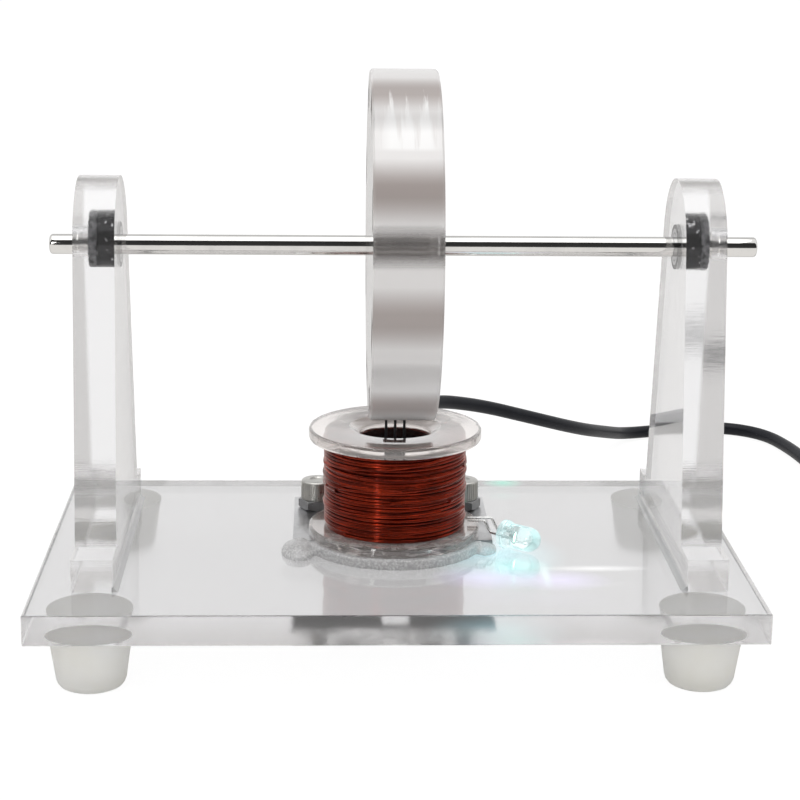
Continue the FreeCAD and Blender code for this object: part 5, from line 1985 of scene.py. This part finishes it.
@dataclass
class Studio:
    """The pale floor, the soft light and the camera."""

    camera_place: Place = (-15.27, -401.87, 151.19)
    yaw: float = 2.207
    pitch: float = 14.513
    roll: float = 0.668
    lens: float = 92.26
    world_light: float = 0.8
    lamp_power: float = 3.2
    gloss_levels: tuple[tuple[float, float], ...] = (
        (0.0, 0.12), (0.05, 0.04), (0.335, 0.03), (0.35, 1.0), (0.70, 1.0), (0.77, 0.45),
        (0.82, 0.6), (0.88, 0.9), (1.0, 0.92))

    def build(self) -> None:
        """Sets up the camera, the floor, the world and the lamps."""
        self.set_camera()
        self.lay_floor()
        self.set_world()
        self.hang_lamp("top_lamp", (0.0, -0.12, 0.95), (0.9, 0.9), self.lamp_power)
        self.hang_lamp("strip_lamp", (-0.5, -0.85, 0.35), (0.09, 0.4), 0.8)
        scene = bpy.context.scene
        scene.view_settings.view_transform = "Standard"
        scene.cycles.max_bounces, scene.cycles.transmission_bounces = 32, 24
        scene.cycles.glossy_bounces = 16

    def set_camera(self) -> None:
        """Places the camera by its yaw, pitch and roll."""
        yaw, pitch, roll = (math.radians(angle) for angle in (self.yaw, self.pitch, self.roll))
        level = Vector((math.sin(yaw), math.cos(yaw), 0))
        right = Vector((math.cos(yaw), -math.sin(yaw), 0))
        ahead = math.cos(pitch) * level - math.sin(pitch) * Vector((0, 0, 1))
        up = math.sin(pitch) * level + math.cos(pitch) * Vector((0, 0, 1))
        across = math.cos(roll) * right + math.sin(roll) * up
        upward = -math.sin(roll) * right + math.cos(roll) * up
        turn = Matrix((across, upward, -ahead)).transposed().to_4x4()
        lens = bpy.data.cameras.new("camera")
        lens.lens, lens.sensor_width = self.lens, 36
        lens.clip_start, lens.clip_end = 0.01, 20
        camera = bpy.data.objects.new("camera", lens)
        bpy.context.scene.collection.objects.link(camera)
        camera.matrix_world = Matrix.Translation(metres(self.camera_place)) @ turn
        bpy.context.scene.camera = camera

    def lay_floor(self) -> None:
        """A large pale floor that keeps a faint shadow."""
        floor = block("floor", (-3000, -3000, -2.05), (3000, 3000, -0.05))
        graph = Graph(bpy.data.materials.new("studio_floor"))
        turned_ray, seen = self.rays(graph)
        cloud = graph.noise(0.01, 2.0)
        matt = graph.add("BsdfDiffuse", {"Color": graph.blend(
            cloud, (0.8, 0.8, 0.8), (0.78, 0.78, 0.78))})
        faint = graph.add("BsdfDiffuse", {"Color": (0.12, 0.12, 0.12)})
        white = graph.add("AddShader", {"0": faint, "1": graph.add(
            "Emission", {"Color": (0.93, 0.93, 0.93), "Strength": 1.0})})
        level = graph.between(graph.part(graph.scaled(), "Y"), 0.95, 0.75, (20.0, 70.0))
        grey = graph.add("Emission", {"Color": (1.0, 0.985, 0.97), "Strength": level})
        shader = graph.mix(seen, graph.mix(turned_ray, matt, grey), white)
        floor.item.data.materials.append(graph.close(shader))

    def rays(self, graph: Graph) -> tuple[bpy.types.NodeSocket, bpy.types.NodeSocket]:
        """Tells apart how the studio is met.

        Args:
            graph: the nodes of the floor or the world.

        Returns:
            1 for gloss or glass, and 1 for what is seen straight on or through glass only.
        """
        camera, glass, gloss, depth = (graph.add("LightPath", {}, name) for name in (
            "Is Camera Ray", "Is Transmission Ray", "Is Glossy Ray", "Glossy Depth"))
        clear = graph.sum("MULTIPLY", glass, graph.sum("LESS_THAN", depth, 0.5))
        return graph.sum("MAXIMUM", gloss, glass), graph.sum("MAXIMUM", camera, clear)

    def set_world(self) -> None:
        """A white room for eye and glass; bright above and dark in front for gloss."""
        world = bpy.context.scene.world = bpy.data.worlds.new("studio")
        graph = Graph(world)
        turned_ray, seen = self.rays(graph)
        back = graph.sum("MULTIPLY", graph.part(graph.here, "Y"), -1.0)
        climb = graph.sum("ARCTAN2", graph.part(graph.here, "Z"), back)
        level = graph.add("ValToRGB", {"Fac": graph.sum("DIVIDE", climb, math.pi)})
        bar = level.node.color_ramp.elements
        while len(bar) < len(self.gloss_levels):
            bar.new(0.5)
        for element, (position, grey) in zip(bar, self.gloss_levels):
            element.position, element.color = position, (grey, grey, grey, 1.0)
        plain, gloss, white = (
            graph.add("Background", {"Color": colour, "Strength": strength})
            for colour, strength in (((1.0, 0.99, 0.98), self.world_light), (level, 1.0),
                                     ((1.0, 1.0, 1.0), 1.0)))
        graph.close(graph.mix(seen, graph.mix(turned_ray, plain, gloss), white))

    def hang_lamp(self, name: str, place: Place, sides: tuple[float, float],
                  power: float) -> None:
        """Hangs a soft lamp that points at the motor.

        Args:
            name: the lamp's name.
            place: where it hangs, in metres.
            sides: its width and height.
            power: its power in watts.
        """
        light = bpy.data.lights.new(name, "AREA")
        light.shape, light.energy = "RECTANGLE", power
        light.size, light.size_y = sides
        lamp = bpy.data.objects.new(name, light)
        bpy.context.scene.collection.objects.link(lamp)
        aim = Vector((0, 0, 0.05)) - Vector(place)
        lamp.matrix_world = Matrix.Translation(Vector(place)) @ aim.to_track_quat(
            "-Z", "Y").to_matrix().to_4x4()
        lamp.visible_camera = lamp.visible_transmission = False


def main() -> None:
    """Builds the motor on its frame."""
    logging.basicConfig(level=logging.INFO, format="%(message)s")
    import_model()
    for part in (Studio, SupplyCable, Stand, Rotor, Bearings, Coil, SmallParts, Fasteners, Diode,
                 Driver, Saddle):
        part().build()


if __name__ == "__main__":
    main()
